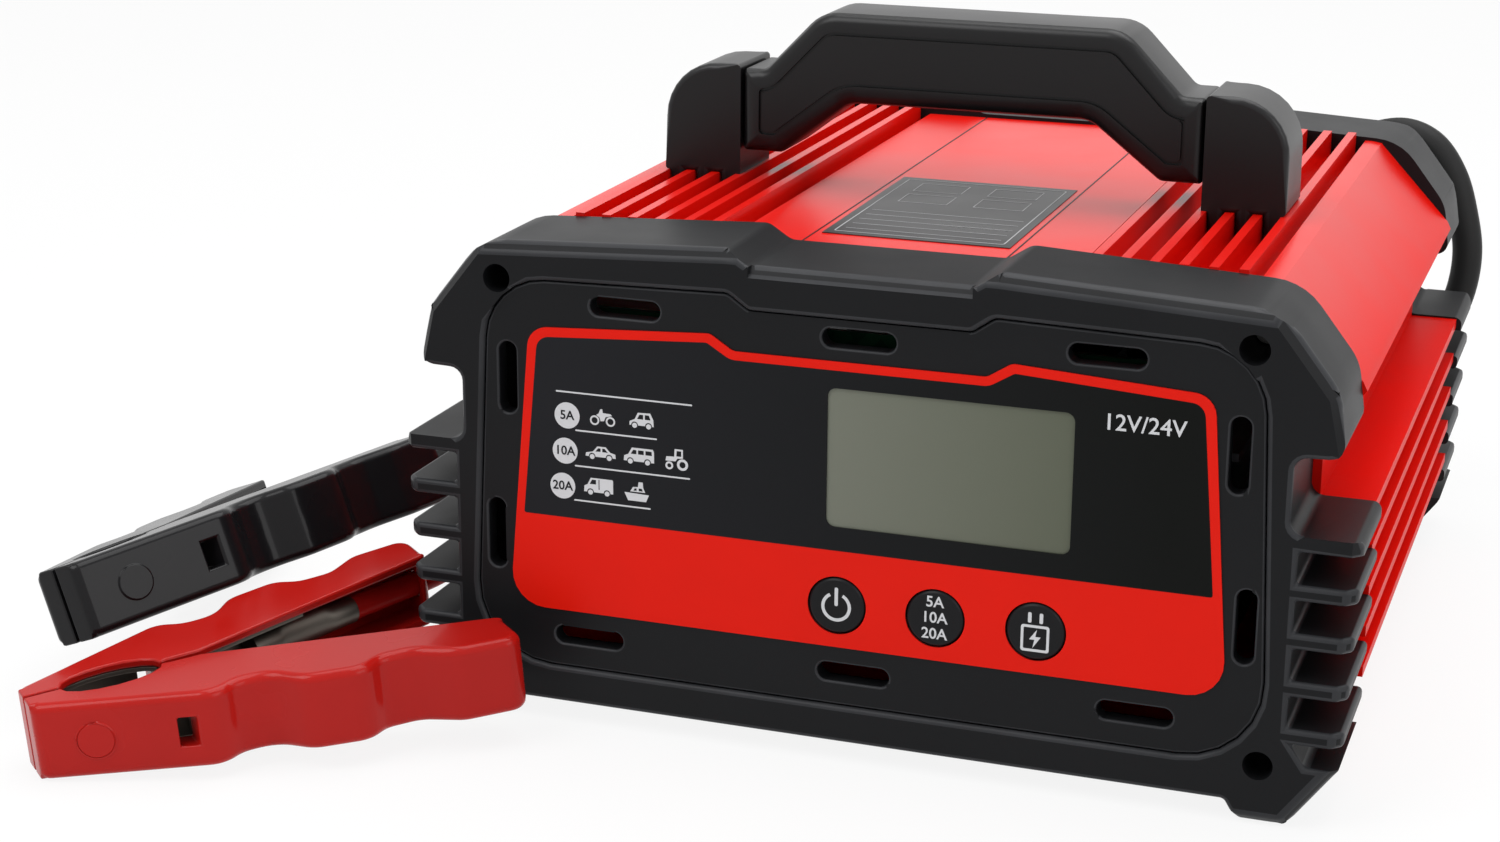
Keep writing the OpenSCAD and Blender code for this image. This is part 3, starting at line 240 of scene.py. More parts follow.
# %% Mixing a finish
class Finish(Recipe):
    """One material: its shader, the object's own coordinates and the fields it is mixed from."""

    def __init__(self, name, **constants):
        self.material = bpy.data.materials.new(name)
        self.material.use_nodes = True
        super().__init__(self.material.node_tree)
        self.shader = self.nodes["Principled BSDF"]
        for words, value in constants.items():
            self.shader.inputs[words.replace("_", " ")].default_value = value
        self.place = self.add("ShaderNodeTexCoord", out="Object")

    def noise(self, per_metre, detail=2, stretch=(1, 1, 1)):
        """A cloud of so many lumps in a metre, stretched along the axes."""
        at = self.add("ShaderNodeMapping", None, {"Vector": self.place, "Scale": stretch})
        return self.add(
            "ShaderNodeTexNoise", None, {"Vector": at, "Scale": per_metre, "Detail": detail}
        )

    def blend(self, share, first, second):
        """A mix of two colours, on the Mix node's colour sockets."""
        sockets = {0: share, 6: first, 7: second}
        return self.add("ShaderNodeMix", {"data_type": "RGBA"}, sockets, out=2)

    def paint(self, colour, rough):
        """Sets the shader's colour and roughness."""
        self.feed(self.shader.inputs["Base Color"], colour)
        self.feed(self.shader.inputs["Roughness"], rough)

    def dent(self, height, depth_mm, strength=0.5):
        """Bumps the surface by a height field."""
        bump = self.add("ShaderNodeBump", None, {
            "Height": height, "Distance": depth_mm * MM, "Strength": strength,
        }, out="Normal")
        self.feed(self.shader.inputs["Normal"], bump)


def shade(colour, factor):
    """A colour made darker or lighter, with its alpha."""
    return (*(min(1, channel * factor) for channel in colour), 1)


CLOUD_PER_M = 45
CLOUD_GLOSS = 0.14
finishes = {}


def surface(name, colour, rough, grain_per_m, depth_mm, spread=0.14, **constants):
    """A finish of one tone with a slow cloud and a fine grain, ready for more."""
    finish = Finish(name, **constants)
    cloud = finish.noise(CLOUD_PER_M, 3)
    tone = finish.blend(cloud, shade(colour, 1 - spread), shade(colour, 1 + spread))
    finish.paint(tone, rough + (cloud - 0.5) * CLOUD_GLOSS)
    finish.dent(finish.noise(grain_per_m), depth_mm)
    finishes[name] = finish.material
    return finish


print("finish mixer ready")

# %% Plastics and film
# Each finish's name, colour, roughness, grains in a metre, depth of the grain in millimetres and,
# where it isn't the usual one, the spread of its tone.
SATIN = {"Specular_IOR_Level": 0.13}
MATT = {"Specular_IOR_Level": 0.08}
surface("charcoal", (0.007, 0.0073, 0.0083), 0.42, 2600, 0.03, **SATIN)
surface("handle_black", (0.004, 0.004, 0.0045), 0.38, 2200, 0.03, Coat_Weight=0.3,
        Coat_Roughness=0.3, **SATIN)
# Painted highlight: the next two finishes are lighter copies of the black plastics. They go on the
# rounded edge strips, where the edges would catch the light.
surface("charcoal_worn", (0.030, 0.031, 0.034), 0.36, 2600, 0.02, 0.45, **SATIN)
surface("handle_black_worn", (0.010, 0.010, 0.011), 0.34, 2200, 0.02, 0.4, Coat_Weight=0.3,
        Coat_Roughness=0.3, **SATIN)
surface("button_black", (0.008, 0.008, 0.009), 0.34, 3000, 0.015, **SATIN)
surface("fan_black", (0.010, 0.010, 0.011), 0.5, 2400, 0.03, **SATIN)
surface("strap", (0.011, 0.011, 0.012), 0.6, 1500, 0.06, **MATT)
surface("sticker", (0.016, 0.016, 0.017), 0.3, 900, 0.01, Specular_IOR_Level=0.15)
surface("sticker_ink", (0.42, 0.42, 0.43), 0.4, 900, 0.008, 0.2, **MATT)
surface("label_print", (0.74, 0.011, 0.004), 0.34, 1800, 0.008, 0.05, **MATT)
field = surface("label_field", (0.010, 0.0105, 0.012), 0.36, 1800, 0.008, **MATT)
surface("label_ink", (0.62, 0.63, 0.65), 0.45, 1800, 0.008, 0.05, **MATT)
surface("red_gloss", (0.42, 0.009, 0.006), 0.26, 500, 0.02, 0.07, Coat_Weight=0.2,
        Coat_Roughness=0.1, **MATT)
surface("black_gloss", (0.008, 0.008, 0.009), 0.28, 500, 0.02, Coat_Weight=0.2,
        Coat_Roughness=0.12, **MATT)
surface("cord_rubber", (0.018, 0.018, 0.018), 0.5, 1700, 0.04, **SATIN)
surface("red_lead", (0.40, 0.008, 0.006), 0.42, 1700, 0.03, 0.08, **SATIN)
surface("black_lead", (0.011, 0.011, 0.011), 0.42, 1700, 0.03, **SATIN)
surface("capacitor_sleeve", (0.015, 0.022, 0.06), 0.35, 1500, 0.02, **SATIN)
print("plastics", sorted(finishes))

# %% Red paint
# The sides are satin, and the coat comes in with height, up to the glossy top.
COAT_FROM, COAT_TO = 0.085, 0.122
TOP_COAT = 0.62
paint = surface("red_paint", (0.71, 0.006, 0.002), 0.36, 1100, 0.02, 0.06, Coat_Roughness=0.25,
                Specular_IOR_Level=0.03)
paint_height = paint.add("ShaderNodeSeparateXYZ", None, {"Vector": paint.place}, out="Z")
coat = paint.add("ShaderNodeMapRange", {"interpolation_type": "SMOOTHSTEP"}, {
    "Value": paint_height, "From Min": COAT_FROM, "From Max": COAT_TO,
    "To Min": 0.0, "To Max": TOP_COAT,
})
paint.feed(paint.shader.inputs["Coat Weight"], coat)
print("red paint, coat up to", TOP_COAT)

# %% Metals
# Each metal's name, colour, roughness and the stretch of its streaks along the axes.
METAL_GRAIN = 1400
STREAKS_PER_M = 900
METALS = (
    ("zinc", (0.10, 0.098, 0.094), 0.42, (1, 1, 1)),
    ("bare_aluminium", (0.62, 0.63, 0.64), 0.36, (1, 14, 1)),
    ("wire_chrome", (0.70, 0.71, 0.72), 0.16, (1, 1, 1)),
    ("pin_brass", (0.72, 0.50, 0.20), 0.28, (1, 12, 1)),
    ("core_iron", (0.16, 0.16, 0.17), 0.5, (1, 16, 1)),
    ("copper_tape", (0.68, 0.33, 0.16), 0.34, (1, 1, 18)),
    ("jaw_steel", (0.13, 0.115, 0.10), 0.46, (1, 1, 9)),
)
for metal, colour, rough, stretch in METALS:
    finish = surface(metal, colour, rough, METAL_GRAIN, 0.015, Metallic=1.0)
    streaks = finish.noise(STREAKS_PER_M, 2, stretch)
    finish.feed(finish.shader.inputs["Roughness"], rough - 0.06 + streaks * 0.12)
print("metals", len(METALS))

# %% Display and boards
def painted_shade_across(finish, left_x, right_x, left, right):
    """Paints shade across a finish: its tone at the left end, where the light falls, fades to a
    darker one at its right.
    """
    across = finish.add("ShaderNodeSeparateXYZ", None, {"Vector": finish.place}, out="X")
    share = finish.add("ShaderNodeMapRange", None, {
        "Value": across, "From Min": left_x, "From Max": right_x,
    })
    finish.feed(finish.shader.inputs["Base Color"], finish.blend(share, left, right))


lens = surface("lens", (0.14, 0.15, 0.11), 0.14, 1600, 0.004, 0.05, Specular_IOR_Level=0.15)
# Painted shade: the lens and the black field are lighter at the left, where the key lamp falls,
# and darker towards the right.
painted_shade_across(lens, -0.007, 0.049, (0.165, 0.175, 0.140, 1), (0.105, 0.115, 0.082, 1))
painted_shade_across(field, -0.07, 0.07, (0.014, 0.0145, 0.017, 1), (0.004, 0.0045, 0.004, 1))
surface("display", (0.13, 0.14, 0.105), 0.4, 1600, 0.01, **SATIN)
# The board's dark green is partly its own colour and partly painted shade. It is taken darker so
# that the inside of the case, seen through the vents, looks shaded.
board = surface("board_green", (0.006, 0.040, 0.018), 0.3, 900, 0.02, **SATIN)
tracks = board.add(
    "ShaderNodeTexVoronoi", {"distance": "MANHATTAN"}, {"Vector": board.place, "Scale": 260}
)
board.feed(
    board.shader.inputs["Base Color"],
    board.blend(tracks > 0.55, (0.006, 0.040, 0.018, 1), (0.010, 0.065, 0.028, 1)),
)
print("finishes", len(finishes))

# %% [markdown]
# ## Dressing the solids
# A imported solid has knife-sharp edges, and a real moulding catches the light on soft ones. Each
# moulding could be modelled anew, but it would drift from its solid. So a copy of the solid's mesh
# is welded, its flat faces are joined, and a Bevel rounds the sharp edges as far as the faces
# beside them have room. The rounded strips take a lighter finish where there is one, a painted
# highlight along the edges. Solids whose shape is already right keep their own mesh and only take
# a finish.

# %% Dressing tools
WELD = 2e-6
FLAT = math.radians(0.4)


def only(piece):
    """Makes one piece the selected and active one."""
    bpy.ops.object.select_all(action="DESELECT")
    piece.select_set(True)
    bpy.context.view_layer.objects.active = piece


def dress(piece, node):
    """The piece stands for a solid: it moves with its body, and the solid is hidden."""
    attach(piece, body_of[node])
    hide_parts(node)
    return piece


def merged(piece, step=None, **settings):
    """Merges a piece's doubled points, then takes one more edit step on the whole mesh."""
    only(piece)
    bpy.ops.object.mode_set(mode="EDIT")
    bpy.ops.mesh.select_all(action="SELECT")
    bpy.ops.mesh.remove_doubles(threshold=WELD)
    if step:
        step(**settings)
    bpy.ops.object.mode_set(mode="OBJECT")
    return piece


def welded(node, name, join_flat=True):
    """A merged copy of a solid's mesh in its finish, with its flat faces joined."""
    piece = bpy.data.objects.new(name, nodes[node].data.copy())
    bpy.context.collection.objects.link(piece)
    piece.data.materials.clear()
    # A solid's finish, and where there is one its lighter copy: a painted highlight for the
    # rounded edge strips.
    for finish in (slot_of[node], slot_of[node] + "_worn"):
        if finish in finishes:
            piece.data.materials.append(finishes[finish])
    only(piece)
    bpy.ops.mesh.customdata_custom_splitnormals_clear()
    if join_flat:
        return merged(piece, bpy.ops.mesh.dissolve_limited, angle_limit=FLAT)
    return merged(piece)


def smoothed(piece, crease=32):
    """Shades the piece smooth, except across edges sharper than the crease angle."""
    only(piece)
    bpy.ops.object.shade_smooth_by_angle(angle=math.radians(crease))
    weigh = piece.modifiers.new("flat_faces_lead", "WEIGHTED_NORMAL")
    weigh.keep_sharp = True
    bpy.ops.object.modifier_apply(modifier=weigh.name)
    return piece


print("dressing tools ready")

# %% Room for a fillet
SMOOTH_RUN = math.cos(math.radians(30))
FACE_SHARE = 0.47
TURN_SHARE = 0.95
NO_LIMIT = 1.0
TOUCHING = 1e-7
STRAIGHT = 1e-6
TINY = 1e-9


def clear_width(loop):
    """How far the face runs inward from this edge before it meets its own outline again."""
    start, end = loop.vert.co, loop.link_loop_next.vert.co
    span = (end - start).length
    along = (end - start).normalized()
    inward = loop.face.normal.cross(along)
    beside = (loop, loop.link_loop_next, loop.link_loop_prev)
    width = NO_LIMIT
    for other in loop.face.loops:
        if other in beside:
            continue
        spots = [corner.vert.co - start for corner in (other, other.link_loop_next)]
        (s0, t0), (s1, t1) = sorted((spot.dot(along), spot.dot(inward)) for spot in spots)
        if s1 < 0 or s0 > span or max(t0, t1) <= 0:
            continue
        for s in (max(s0, 0), min(s1, span)):
            t = t0 + (t1 - t0) * (s - s0) / max(s1 - s0, TINY)
            if t > -TOUCHING:
                width = min(width, max(t, 0))
    return width


def turn_room(loop, sharp):
    """The widest fillet before the outline's turns at both ends of this edge use it up."""
    before, after = loop.link_loop_prev, loop.link_loop_next
    places = [item.vert.co for item in (before, loop, after, after.link_loop_next)]
    ways = [(b - a).normalized() for a, b in zip(places, places[1:])]
    turns = 0
    for near, first, second in ((before, ways[0], ways[1]), (after, ways[1], ways[2])):
        if near.edge in sharp:
            inside = max(0, loop.face.normal.dot(first.cross(second)))
            turns += inside / max(STRAIGHT, 1 + first.dot(second))
    if turns <= STRAIGHT:
        return NO_LIMIT
    return TURN_SHARE * (places[2] - places[1]).length / turns


def chains(edges):
    """Splits edges into runs that go on smoothly from one to the next."""
    left = set(edges)
    while left:
        run = [left.pop()]
        for edge in run:
            for vertex in edge.verts:
                way = (vertex.co - edge.other_vert(vertex).co).normalized()
                for near in vertex.link_edges:
                    out = (near.other_vert(vertex).co - vertex.co).normalized()
                    if near in left and out.dot(way) > SMOOTH_RUN:
                        left.discard(near)
                        run.append(near)
        yield run


def share_out(piece, radius_mm, crease, least, picked, stays):
    """Weights the sharp edges by the share of the fillet that their faces have room for.

    A smooth run of edges takes the share of its tightest edge. Where that is under the least
    share, the run's edges with full room are rounded and the others stay sharp.
    """
    mesh = bmesh.new()
    mesh.from_mesh(piece.data)
    weight = mesh.edges.layers.float.new("bevel_weight_edge")
    sharp = set()
    for edge in mesh.edges:
        keyed = tuple(sorted(vertex.index for vertex in edge.verts))
        if picked is not None:
            chosen = keyed in picked
        else:
            chosen = len(edge.link_faces) == 2 and edge.calc_face_angle() > math.radians(crease)
        if chosen and not (stays and all(stays(vertex.co / MM) for vertex in edge.verts)):
            sharp.add(edge)
    room = {}
    for edge in sharp:
        widths = [
            min(FACE_SHARE * clear_width(loop), turn_room(loop, sharp)) for loop in edge.link_loops
        ]
        room[edge] = min(1, min(widths) / (radius_mm * MM))
    for run in chains(sharp):
        share = min(room[edge] for edge in run)
        for edge in run:
            edge[weight] = share if share >= least else float(room[edge] >= 1)
    mesh.to_mesh(piece.data)
    mesh.free()


print("a fillet may take", FACE_SHARE, "of the width of a face")

# %% Rounding
def rounded(piece, radius_mm, segments=3, crease=32, least=0.7, picked=None, stays=None):
    """Rounds the picked edges, or those sharper than the crease angle, where there is room."""
    share_out(piece, radius_mm, crease, least, picked, stays)
    only(piece)
    bevel = piece.modifiers.new("soft_edges", "BEVEL")
    bevel.width = radius_mm * MM
    bevel.segments = segments
    bevel.limit_method = "WEIGHT"
    bevel.use_clamp_overlap = False
    bevel.loop_slide = False
    # The rounded strips take the piece's last finish. Where there is one, that is the lighter
    # copy, a painted highlight.
    bevel.material = max(0, len(piece.data.materials) - 1)
    bpy.ops.object.modifier_apply(modifier=bevel.name)
    piece.data.attributes.remove(piece.data.attributes["bevel_weight_edge"])
    merged(piece, bpy.ops.mesh.dissolve_degenerate, threshold=WELD)
    return smoothed(piece, crease)


print("rounding ready")

# %% [markdown]
# ## Cords
# The output lead leaves the gland, rises behind the case, where the photograph shows its arc, and
# is put away in a flat coil behind the charger. It ends in a moulded boot, where two single leads
# go on to the clamps. A tube could be swept in mesh, but a curve with a round bevel is a cord as
# it is, and keeps its line. Its points repeat the route of the solids.

# %% Routes
CORD_D = 8.6
LEAD_D = 6.0


def smooth_route(points, steps):
    """A smooth curve through the points, straight on at both ends."""
    points = [Vector(point) for point in points]
    ghosts = [2 * points[0] - points[1], *points, 2 * points[-1] - points[-2]]
    line = []
    for a, b, c, d in zip(ghosts, ghosts[1:], ghosts[2:], ghosts[3:]):
        for t in (step / steps for step in range(steps)):
            bend = (2 * a - 5 * b + 4 * c - d) * t + (3 * b - a - 3 * c + d) * t * t
            line.append(b + 0.5 * t * (c - a + bend))
    return [*line, points[-1]]


def beyond(point, previous, distance):
    """The point that lies further on from the previous one."""
    return point + (point - previous).normalized() * distance


COIL_MIDDLE = Vector((0, 182, 0))
COIL_TURNS = 2.0625
COIL_PITCH = 9.2
COIL_R = 54
COIL_LOW = 6.1
COIL_RISE = 9.1
COIL_START = 300
CLIMB_TURNS = 0.5
POINTS_PER_TURN = 48


def coil_point(turn):
    """In to the middle on the table, over in half a turn, and out again on top."""
    inward = turn if turn < COIL_TURNS else 2 * COIL_TURNS - turn
    climb = min(1, max(0, (turn - COIL_TURNS + CLIMB_TURNS / 2) / CLIMB_TURNS))
    angle = math.radians(COIL_START - 360 * turn)
    radius = COIL_R - COIL_PITCH * inward
    return COIL_MIDDLE + Vector((
        radius * math.cos(angle), radius * math.sin(angle), COIL_LOW + COIL_RISE * climb
    ))


coil = [
    coil_point(step / POINTS_PER_TURN)
    for step in range(round(2 * COIL_TURNS * POINTS_PER_TURN) + 1)
]
coil_in = beyond(coil[0], coil[1], CORD_D)
coil_out = beyond(coil[-1], coil[-2], CORD_D)
cord_exit = (58, 127.6, 86)
rise = smooth_route([
    cord_exit, (58.2, 138, 86.3), (60, 148.5, 88.8), (65.5, 156, 94.8), (74, 158.5, 100.8),
    (84, 157.5, 103.3), (93, 155, 100.2), (99.6, 152.6, 91.8), (103.5, 150.7, 81),
    (105.6, 149.3, 70.5), (104.8, 148.3, 59.5), (101.2, 147.7, 48.5), (95.8, 147.6, 38.5),
    (89.2, 148, 29), (81.8, 148.5, 20), (73.5, 148.4, 11.7), (63.5, 147, 6.3),
    beyond(coil_in, coil[0], 12), coil_in,
], 8)
tail = smooth_route([
    coil_out, beyond(coil_out, coil[-1], 8), (-46, 137, 11), (-58, 145, 7), (-70, 148, 5.7),
    (-78, 148, 5.7),
], 6)
print("lead points", len(rise) + len(coil) + len(tail))

# %% Clamp places
CLAMP_H = 18.5
HANDLE_END_X = 106
HANDLE_END_Y = 30.2
LEAD_SPREAD = math.tan(math.radians(17))
LEAD_STOPS = (120, 106, 80)
LEAD_SIDE = {"red": 1, "black": -1}


def clamp_frame(tip, angles):
    """Where a clamp lies: its jaw tip, and its turns about X, Y and Z."""
    turns = Euler([math.radians(angle) for angle in angles])
    return Matrix.Translation(tip) @ turns.to_matrix().to_4x4()


clamp_frames = {
    "red": clamp_frame((-170.6, -182.5, 0.2), (0, -5, 47.5)),
    "black": clamp_frame((-179.7, -149.2, 17.7), (-22, 1.2, 80.5)),
}


def lead_place(colour, x):
    """Where a lead runs in its clamp, so far back from the jaw tip."""
    return Vector((
        x, LEAD_SIDE[colour] * (HANDLE_END_Y + (x - HANDLE_END_X) * LEAD_SPREAD), CLAMP_H / 2
    ))


def lead_end(colour):
    """The last points of a lead, into the handle of its clamp."""
    return [clamp_frames[colour] @ lead_place(colour, x) for x in LEAD_STOPS]


red_line = smooth_route([
    (-101, 144, 5.7), (-110, 144, 5.7), (-119, 138, 4), (-121, 120, 3.2), (-120, 60, 3.2),
    (-121, 0, 3.2), (-119, -30, 5), *lead_end("red"),
], 8)
black_line = smooth_route([
    (-101, 152, 5.7), (-110, 152, 5.7), (-123, 147, 4), (-129, 132, 3.2), (-128, 80, 3.4),
    (-129, 30, 4.4), (-127, 5, 14), *lead_end("black"),
], 8)
print("clamps", list(clamp_frames))

# %% Cords as curves
def laid_cord(name, line, diameter, slot, *solids):
    """A round cord along a line in millimetres, in place of its solids."""
    data = bpy.data.curves.new(name, "CURVE")
    data.dimensions = "3D"
    data.bevel_depth = diameter / 2 * MM
    data.bevel_resolution = 5
    data.use_fill_caps = True
    spline = data.splines.new("POLY")
    spline.points.add(len(line) - 1)
    for point, place in zip(spline.points, line):
        point.co = (*metres(*place), 1)
    cord = bpy.data.objects.new(name, data)
    bpy.context.collection.objects.link(cord)
    data.materials.append(finishes[slot])
    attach(cord, "charger")
    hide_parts(*solids)
    return cord


def length_of(line):
    """The length of a line in millimetres, in metres."""
    return MM * sum((b - a).length for a, b in zip(line, line[1:]))


main_line = [*rise, *coil, *tail]
output_lead = laid_cord(
    "output_lead", main_line, CORD_D, "cord_rubber", "output_cord", "cord_coil", "tail_cord"
)
red_wire = laid_cord("red_wire", red_line, LEAD_D, "red_lead", "red_lead")
black_wire = laid_cord("black_wire", black_line, LEAD_D, "black_lead", "black_lead")
for cord, line in ((output_lead, main_line), (red_wire, red_line), (black_wire, black_line)):
    print(cord.name, round(length_of(line), 3), "m")

# %% Pieces on the output lead
gland = dress(rounded(welded("cable_gland", "gland_relief"), 0.5), "cable_gland")
coil_tie = dress(rounded(welded("cord_tie", "coil_tie"), 0.5), "cord_tie")
lead_boot = dress(rounded(welded("split_boot", "lead_boot"), 0.5), "split_boot")
length_of(main_line)
print("on the lead:", gland.name, coil_tie.name, lead_boot.name)

# %% [markdown]
# ## Clamps
# A battery clamp is two pressed-steel jaws in glossy plastic shells, on one pin with a spring.
# The shells are thick mouldings with a big fillet along their backs. One bevel for all edges
# would be too fine there or too wide elsewhere, so the back edges are picked by place and rounded
# first, and what is left is rounded finely.

# %% Clamp shells
FILLET = 2.2
NOSE_Y = 5
RIM = 0.05


def clamp_shell(node, colour):
    """A shell with wide fillets along its back edges."""
    piece = welded(node, node.replace("cover", "shell"))
    to_clamp = clamp_frames[colour].inverted()
    places = [to_clamp @ (vertex.co / MM) for vertex in piece.data.vertices]
    outward = math.copysign(1, sum(place.y for place in places))
    walls = {}
    for face in piece.data.polygons:
        normal = to_clamp.to_3x3() @ face.normal
        if abs(normal.z) < 0.3 and (normal.y * outward > 0.2 or abs(normal.x) > 0.9):
            walls.update(dict.fromkeys(face.edge_keys))
    backs = set()
    for edge in piece.data.edges:
        ends = [places[index] for index in edge.vertices]
        rim = any(all(abs(end.z - level) < RIM for end in ends) for level in (0, CLAMP_H))
        if rim and edge.key in walls and min(abs(end.y) for end in ends) > NOSE_Y:
            backs.add(edge.key)
    print(piece.name, "back edges", len(backs))
    rounded(piece, FILLET, 5, least=0.5, picked=backs)
    return dress(rounded(piece, 0.5, 2, 38, least=0.3), node)


clamp_pieces = {}
for colour in LEAD_SIDE:
    clamp_pieces[colour] = [
        clamp_shell(f"{colour}_clamp_{half}_cover", colour) for half in ("base", "lever")
    ]

# %% Clamp metal
for colour in LEAD_SIDE:
    for part in ("base_jaw", "lever_jaw", "pin"):
        node = f"{colour}_clamp_{part}"
        piece = dress(rounded(welded(node, f"{colour}_{part}_steel"), 0.25, 2), node)
        clamp_pieces[colour].append(piece)
    clamp_pieces[colour].append(nodes[f"{colour}_clamp_spring"])
    print(colour, "clamp pieces", len(clamp_pieces[colour]))

# %% Crimps on the leads
CRIMP_R = 3.4
CRIMP_LEN = 30
CRIMP_X = 71
CRIMP_CUTS = (-8, -6, 6, 8)
CRIMP_WAIST = 7
CRIMP_PRESS = (0.7, 1.1, 1)


def lead_crimp(colour):
    """A pressed steel ferrule on the end of a lead, inside the handle of its clamp."""
    bpy.ops.object.select_all(action="DESELECT")
    bpy.ops.mesh.primitive_cylinder_add(vertices=24, radius=CRIMP_R * MM, depth=CRIMP_LEN * MM)
    piece = bpy.context.object
    piece.name = f"{colour}_lead_crimp"
    bpy.ops.object.mode_set(mode="EDIT")
    for cut in CRIMP_CUTS:
        bpy.ops.mesh.select_all(action="SELECT")
        bpy.ops.mesh.bisect(plane_co=(0, 0, cut * MM), plane_no=(0, 0, 1))
    bpy.ops.mesh.select_mode(type="VERT")
    bpy.ops.mesh.select_all(action="DESELECT")
    bpy.ops.object.mode_set(mode="OBJECT")
    for vertex in piece.data.vertices:
        vertex.select = abs(vertex.co.z) < CRIMP_WAIST * MM
    bpy.ops.object.mode_set(mode="EDIT")
    bpy.ops.transform.resize(value=CRIMP_PRESS, center_override=(0, 0, 0))
    bpy.ops.object.mode_set(mode="OBJECT")
    rounded(piece, 0.35, 2, 50)
    way = Vector((1, LEAD_SIDE[colour] * LEAD_SPREAD, 0))
    along = way.to_track_quat("Z", "Y").to_matrix().to_4x4()
    middle = Matrix.Translation(lead_place(colour, CRIMP_X))
    to_metres = Matrix.Scale(MM, 4)
    place = to_metres @ clamp_frames[colour] @ middle @ along
    piece.data.transform(place @ to_metres.inverted())
    piece.data.materials.append(finishes["jaw_steel"])
    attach(piece, "charger")
    print(piece.name, len(piece.data.polygons), "faces")
    return piece


for colour in LEAD_SIDE:
    clamp_pieces[colour].append(lead_crimp(colour))

# %% Leads into the clamps
for colour, wire, line in (("red", red_wire, red_line), ("black", black_wire, black_line)):
    metres(*line[0])
    length_of(line)
    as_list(clamp_pieces[colour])
    print(wire.name, "ends in its clamp")

# %% [markdown]
# ## Case
# The red case is a finned metal extrusion between two moulded end bezels, with the panels let
# into them. Each takes the radius that its real edges have: the mouldings are soft, and the metal
# is only broken. Edges stay sharp in the seams between case and bezels, where a fillet would open
# a gap, and at the screw wells, where it would have no even room. The grip and the fan housing
# are already round in the solid.

# %% Case mouldings
# Each solid, its piece and the radius of its edges in millimetres.
MOULDINGS = (
    ("front_bezel", "front_bezel_moulding", 1.1),
    ("rear_bezel", "rear_bezel_moulding", 1.1),
    ("front_panel", "front_panel_moulding", 0.5),
    ("rear_panel", "rear_panel_moulding", 0.5),
    ("body_shell", "finned_case", 0.35),
    ("handle_left_block", "left_handle_block", 1.5),
    ("handle_right_block", "right_handle_block", 1.5),
    ("mains_inlet", "inlet_housing", 0.4),
)
SEAM_Y = 84
SEAM_NEAR = 0.01
WELLS = ((86, 106.4), (92, 14))
WELL_R = 4.6
BUTTONS = ("start", "current", "repair")


def seated(place):
    """True on the seams of case and bezels and at the screw wells, where edges stay sharp."""
    in_well = any(math.hypot(abs(place.x) - x, place.z - z) < WELL_R for x, z in WELLS)
    return in_well or abs(abs(place.y) - SEAM_Y) < SEAM_NEAR


for node, name, radius in MOULDINGS:
    piece = dress(rounded(welded(node, name), radius, stays=seated), node)
    print(name, len(piece.data.polygons), "faces")
for key in BUTTONS:
    cap = rounded(welded(f"{key}_button", f"{key}_cap"), 0.5, least=0.3)
    dress(cap, f"{key}_button")
for node, name in (("handle_grip", "carry_grip"), ("fan_frame", "fan_housing")):
    piece = dress(smoothed(welded(node, name, False), 40), node)
    print(name, len(piece.data.polygons), "faces")

# %% [markdown]
# ## Printed label
# The label is a red film with a black field printed over its upper part. The prints could be
# patterns in the material, but as shapes they stay crisp close up. They are drawn as flat
# outlines, filled by a 2D curve, made a mesh and stood up against the film. Each stands less than
# a fifth of a millimetre proud, which is enough to keep it from flickering.

# %% Drawing flat prints
LABEL_Y = -113.6
CAP_Y = -113.9
PRINT_THICK = 0.1
SIGN_THICK = 0.06
DIGIT_SHARE = 0.7


def round_corners(corners, steps=6):
    """An outline through corners (x, z, radius), with each corner rounded."""
    outline = []
    for index, (x, z, radius) in enumerate(corners):
        corner = Vector((x, z))
        before = (Vector(corners[index - 1][:2]) - corner).normalized()
        after = (Vector(corners[(index + 1) % len(corners)][:2]) - corner).normalized()
        half = before.angle(after) / 2
        middle = corner + (before + after).normalized() * radius / math.sin(half)
        start = corner + before * radius / math.tan(half) - middle
        sweep = start.angle_signed(corner + after * radius / math.tan(half) - middle)
        for step in range(steps + 1):
            outline.append(middle + Matrix.Rotation(-sweep * step / steps, 2) @ start)
    return outline


def box_outline(x, z, width, height, radius):
    """A rounded box around its middle."""
    w, h = width / 2, height / 2
    return round_corners(
        [(x - w, z - h, radius), (x + w, z - h, radius), (x + w, z + h, radius),
         (x - w, z + h, radius)]
    )


def ring_outline(x, z, radius, start=0, stop=360, count=40):
    """Points along a circle."""
    angles = (math.radians(start + (stop - start) * i / count) for i in range(count + 1))
    return [Vector((x + radius * math.cos(a), z + radius * math.sin(a))) for a in angles]


def disc_outline(x, z, radius, count=40):
    """A full circle, with no point drawn twice."""
    return ring_outline(x, z, radius, 0, 360 * (count - 1) / count, count - 1)


def flat_mesh(outlines, thick):
    """Outlines in millimetres, filled and made a mesh that lies in the XY plane."""
    data = bpy.data.curves.new("outline", "CURVE")
    data.dimensions = "2D"
    data.fill_mode = "BOTH"
    data.extrude = thick / 2
    for outline in outlines:
        spline = data.splines.new("POLY")
        spline.points.add(len(outline) - 1)
        spline.use_cyclic_u = True
        for point, (x, z) in zip(spline.points, outline):
            point.co = (x, z, 0, 1)
    flat = bpy.data.objects.new("outline", data)
    bpy.context.collection.objects.link(flat)
    only(flat)
    bpy.ops.object.convert(target="MESH")
    return bpy.context.object


def on_front(y, thick):
    """Stands a flat print on a face that looks forward."""
    return Matrix.Translation(metres(0, y - thick / 2, 0)) @ Matrix.Rotation(math.pi / 2, 4, "X")


def on_top(z, thick):
    """Lays a flat print on a face that looks up."""
    return Matrix.Translation(metres(0, 0, z + thick / 2))


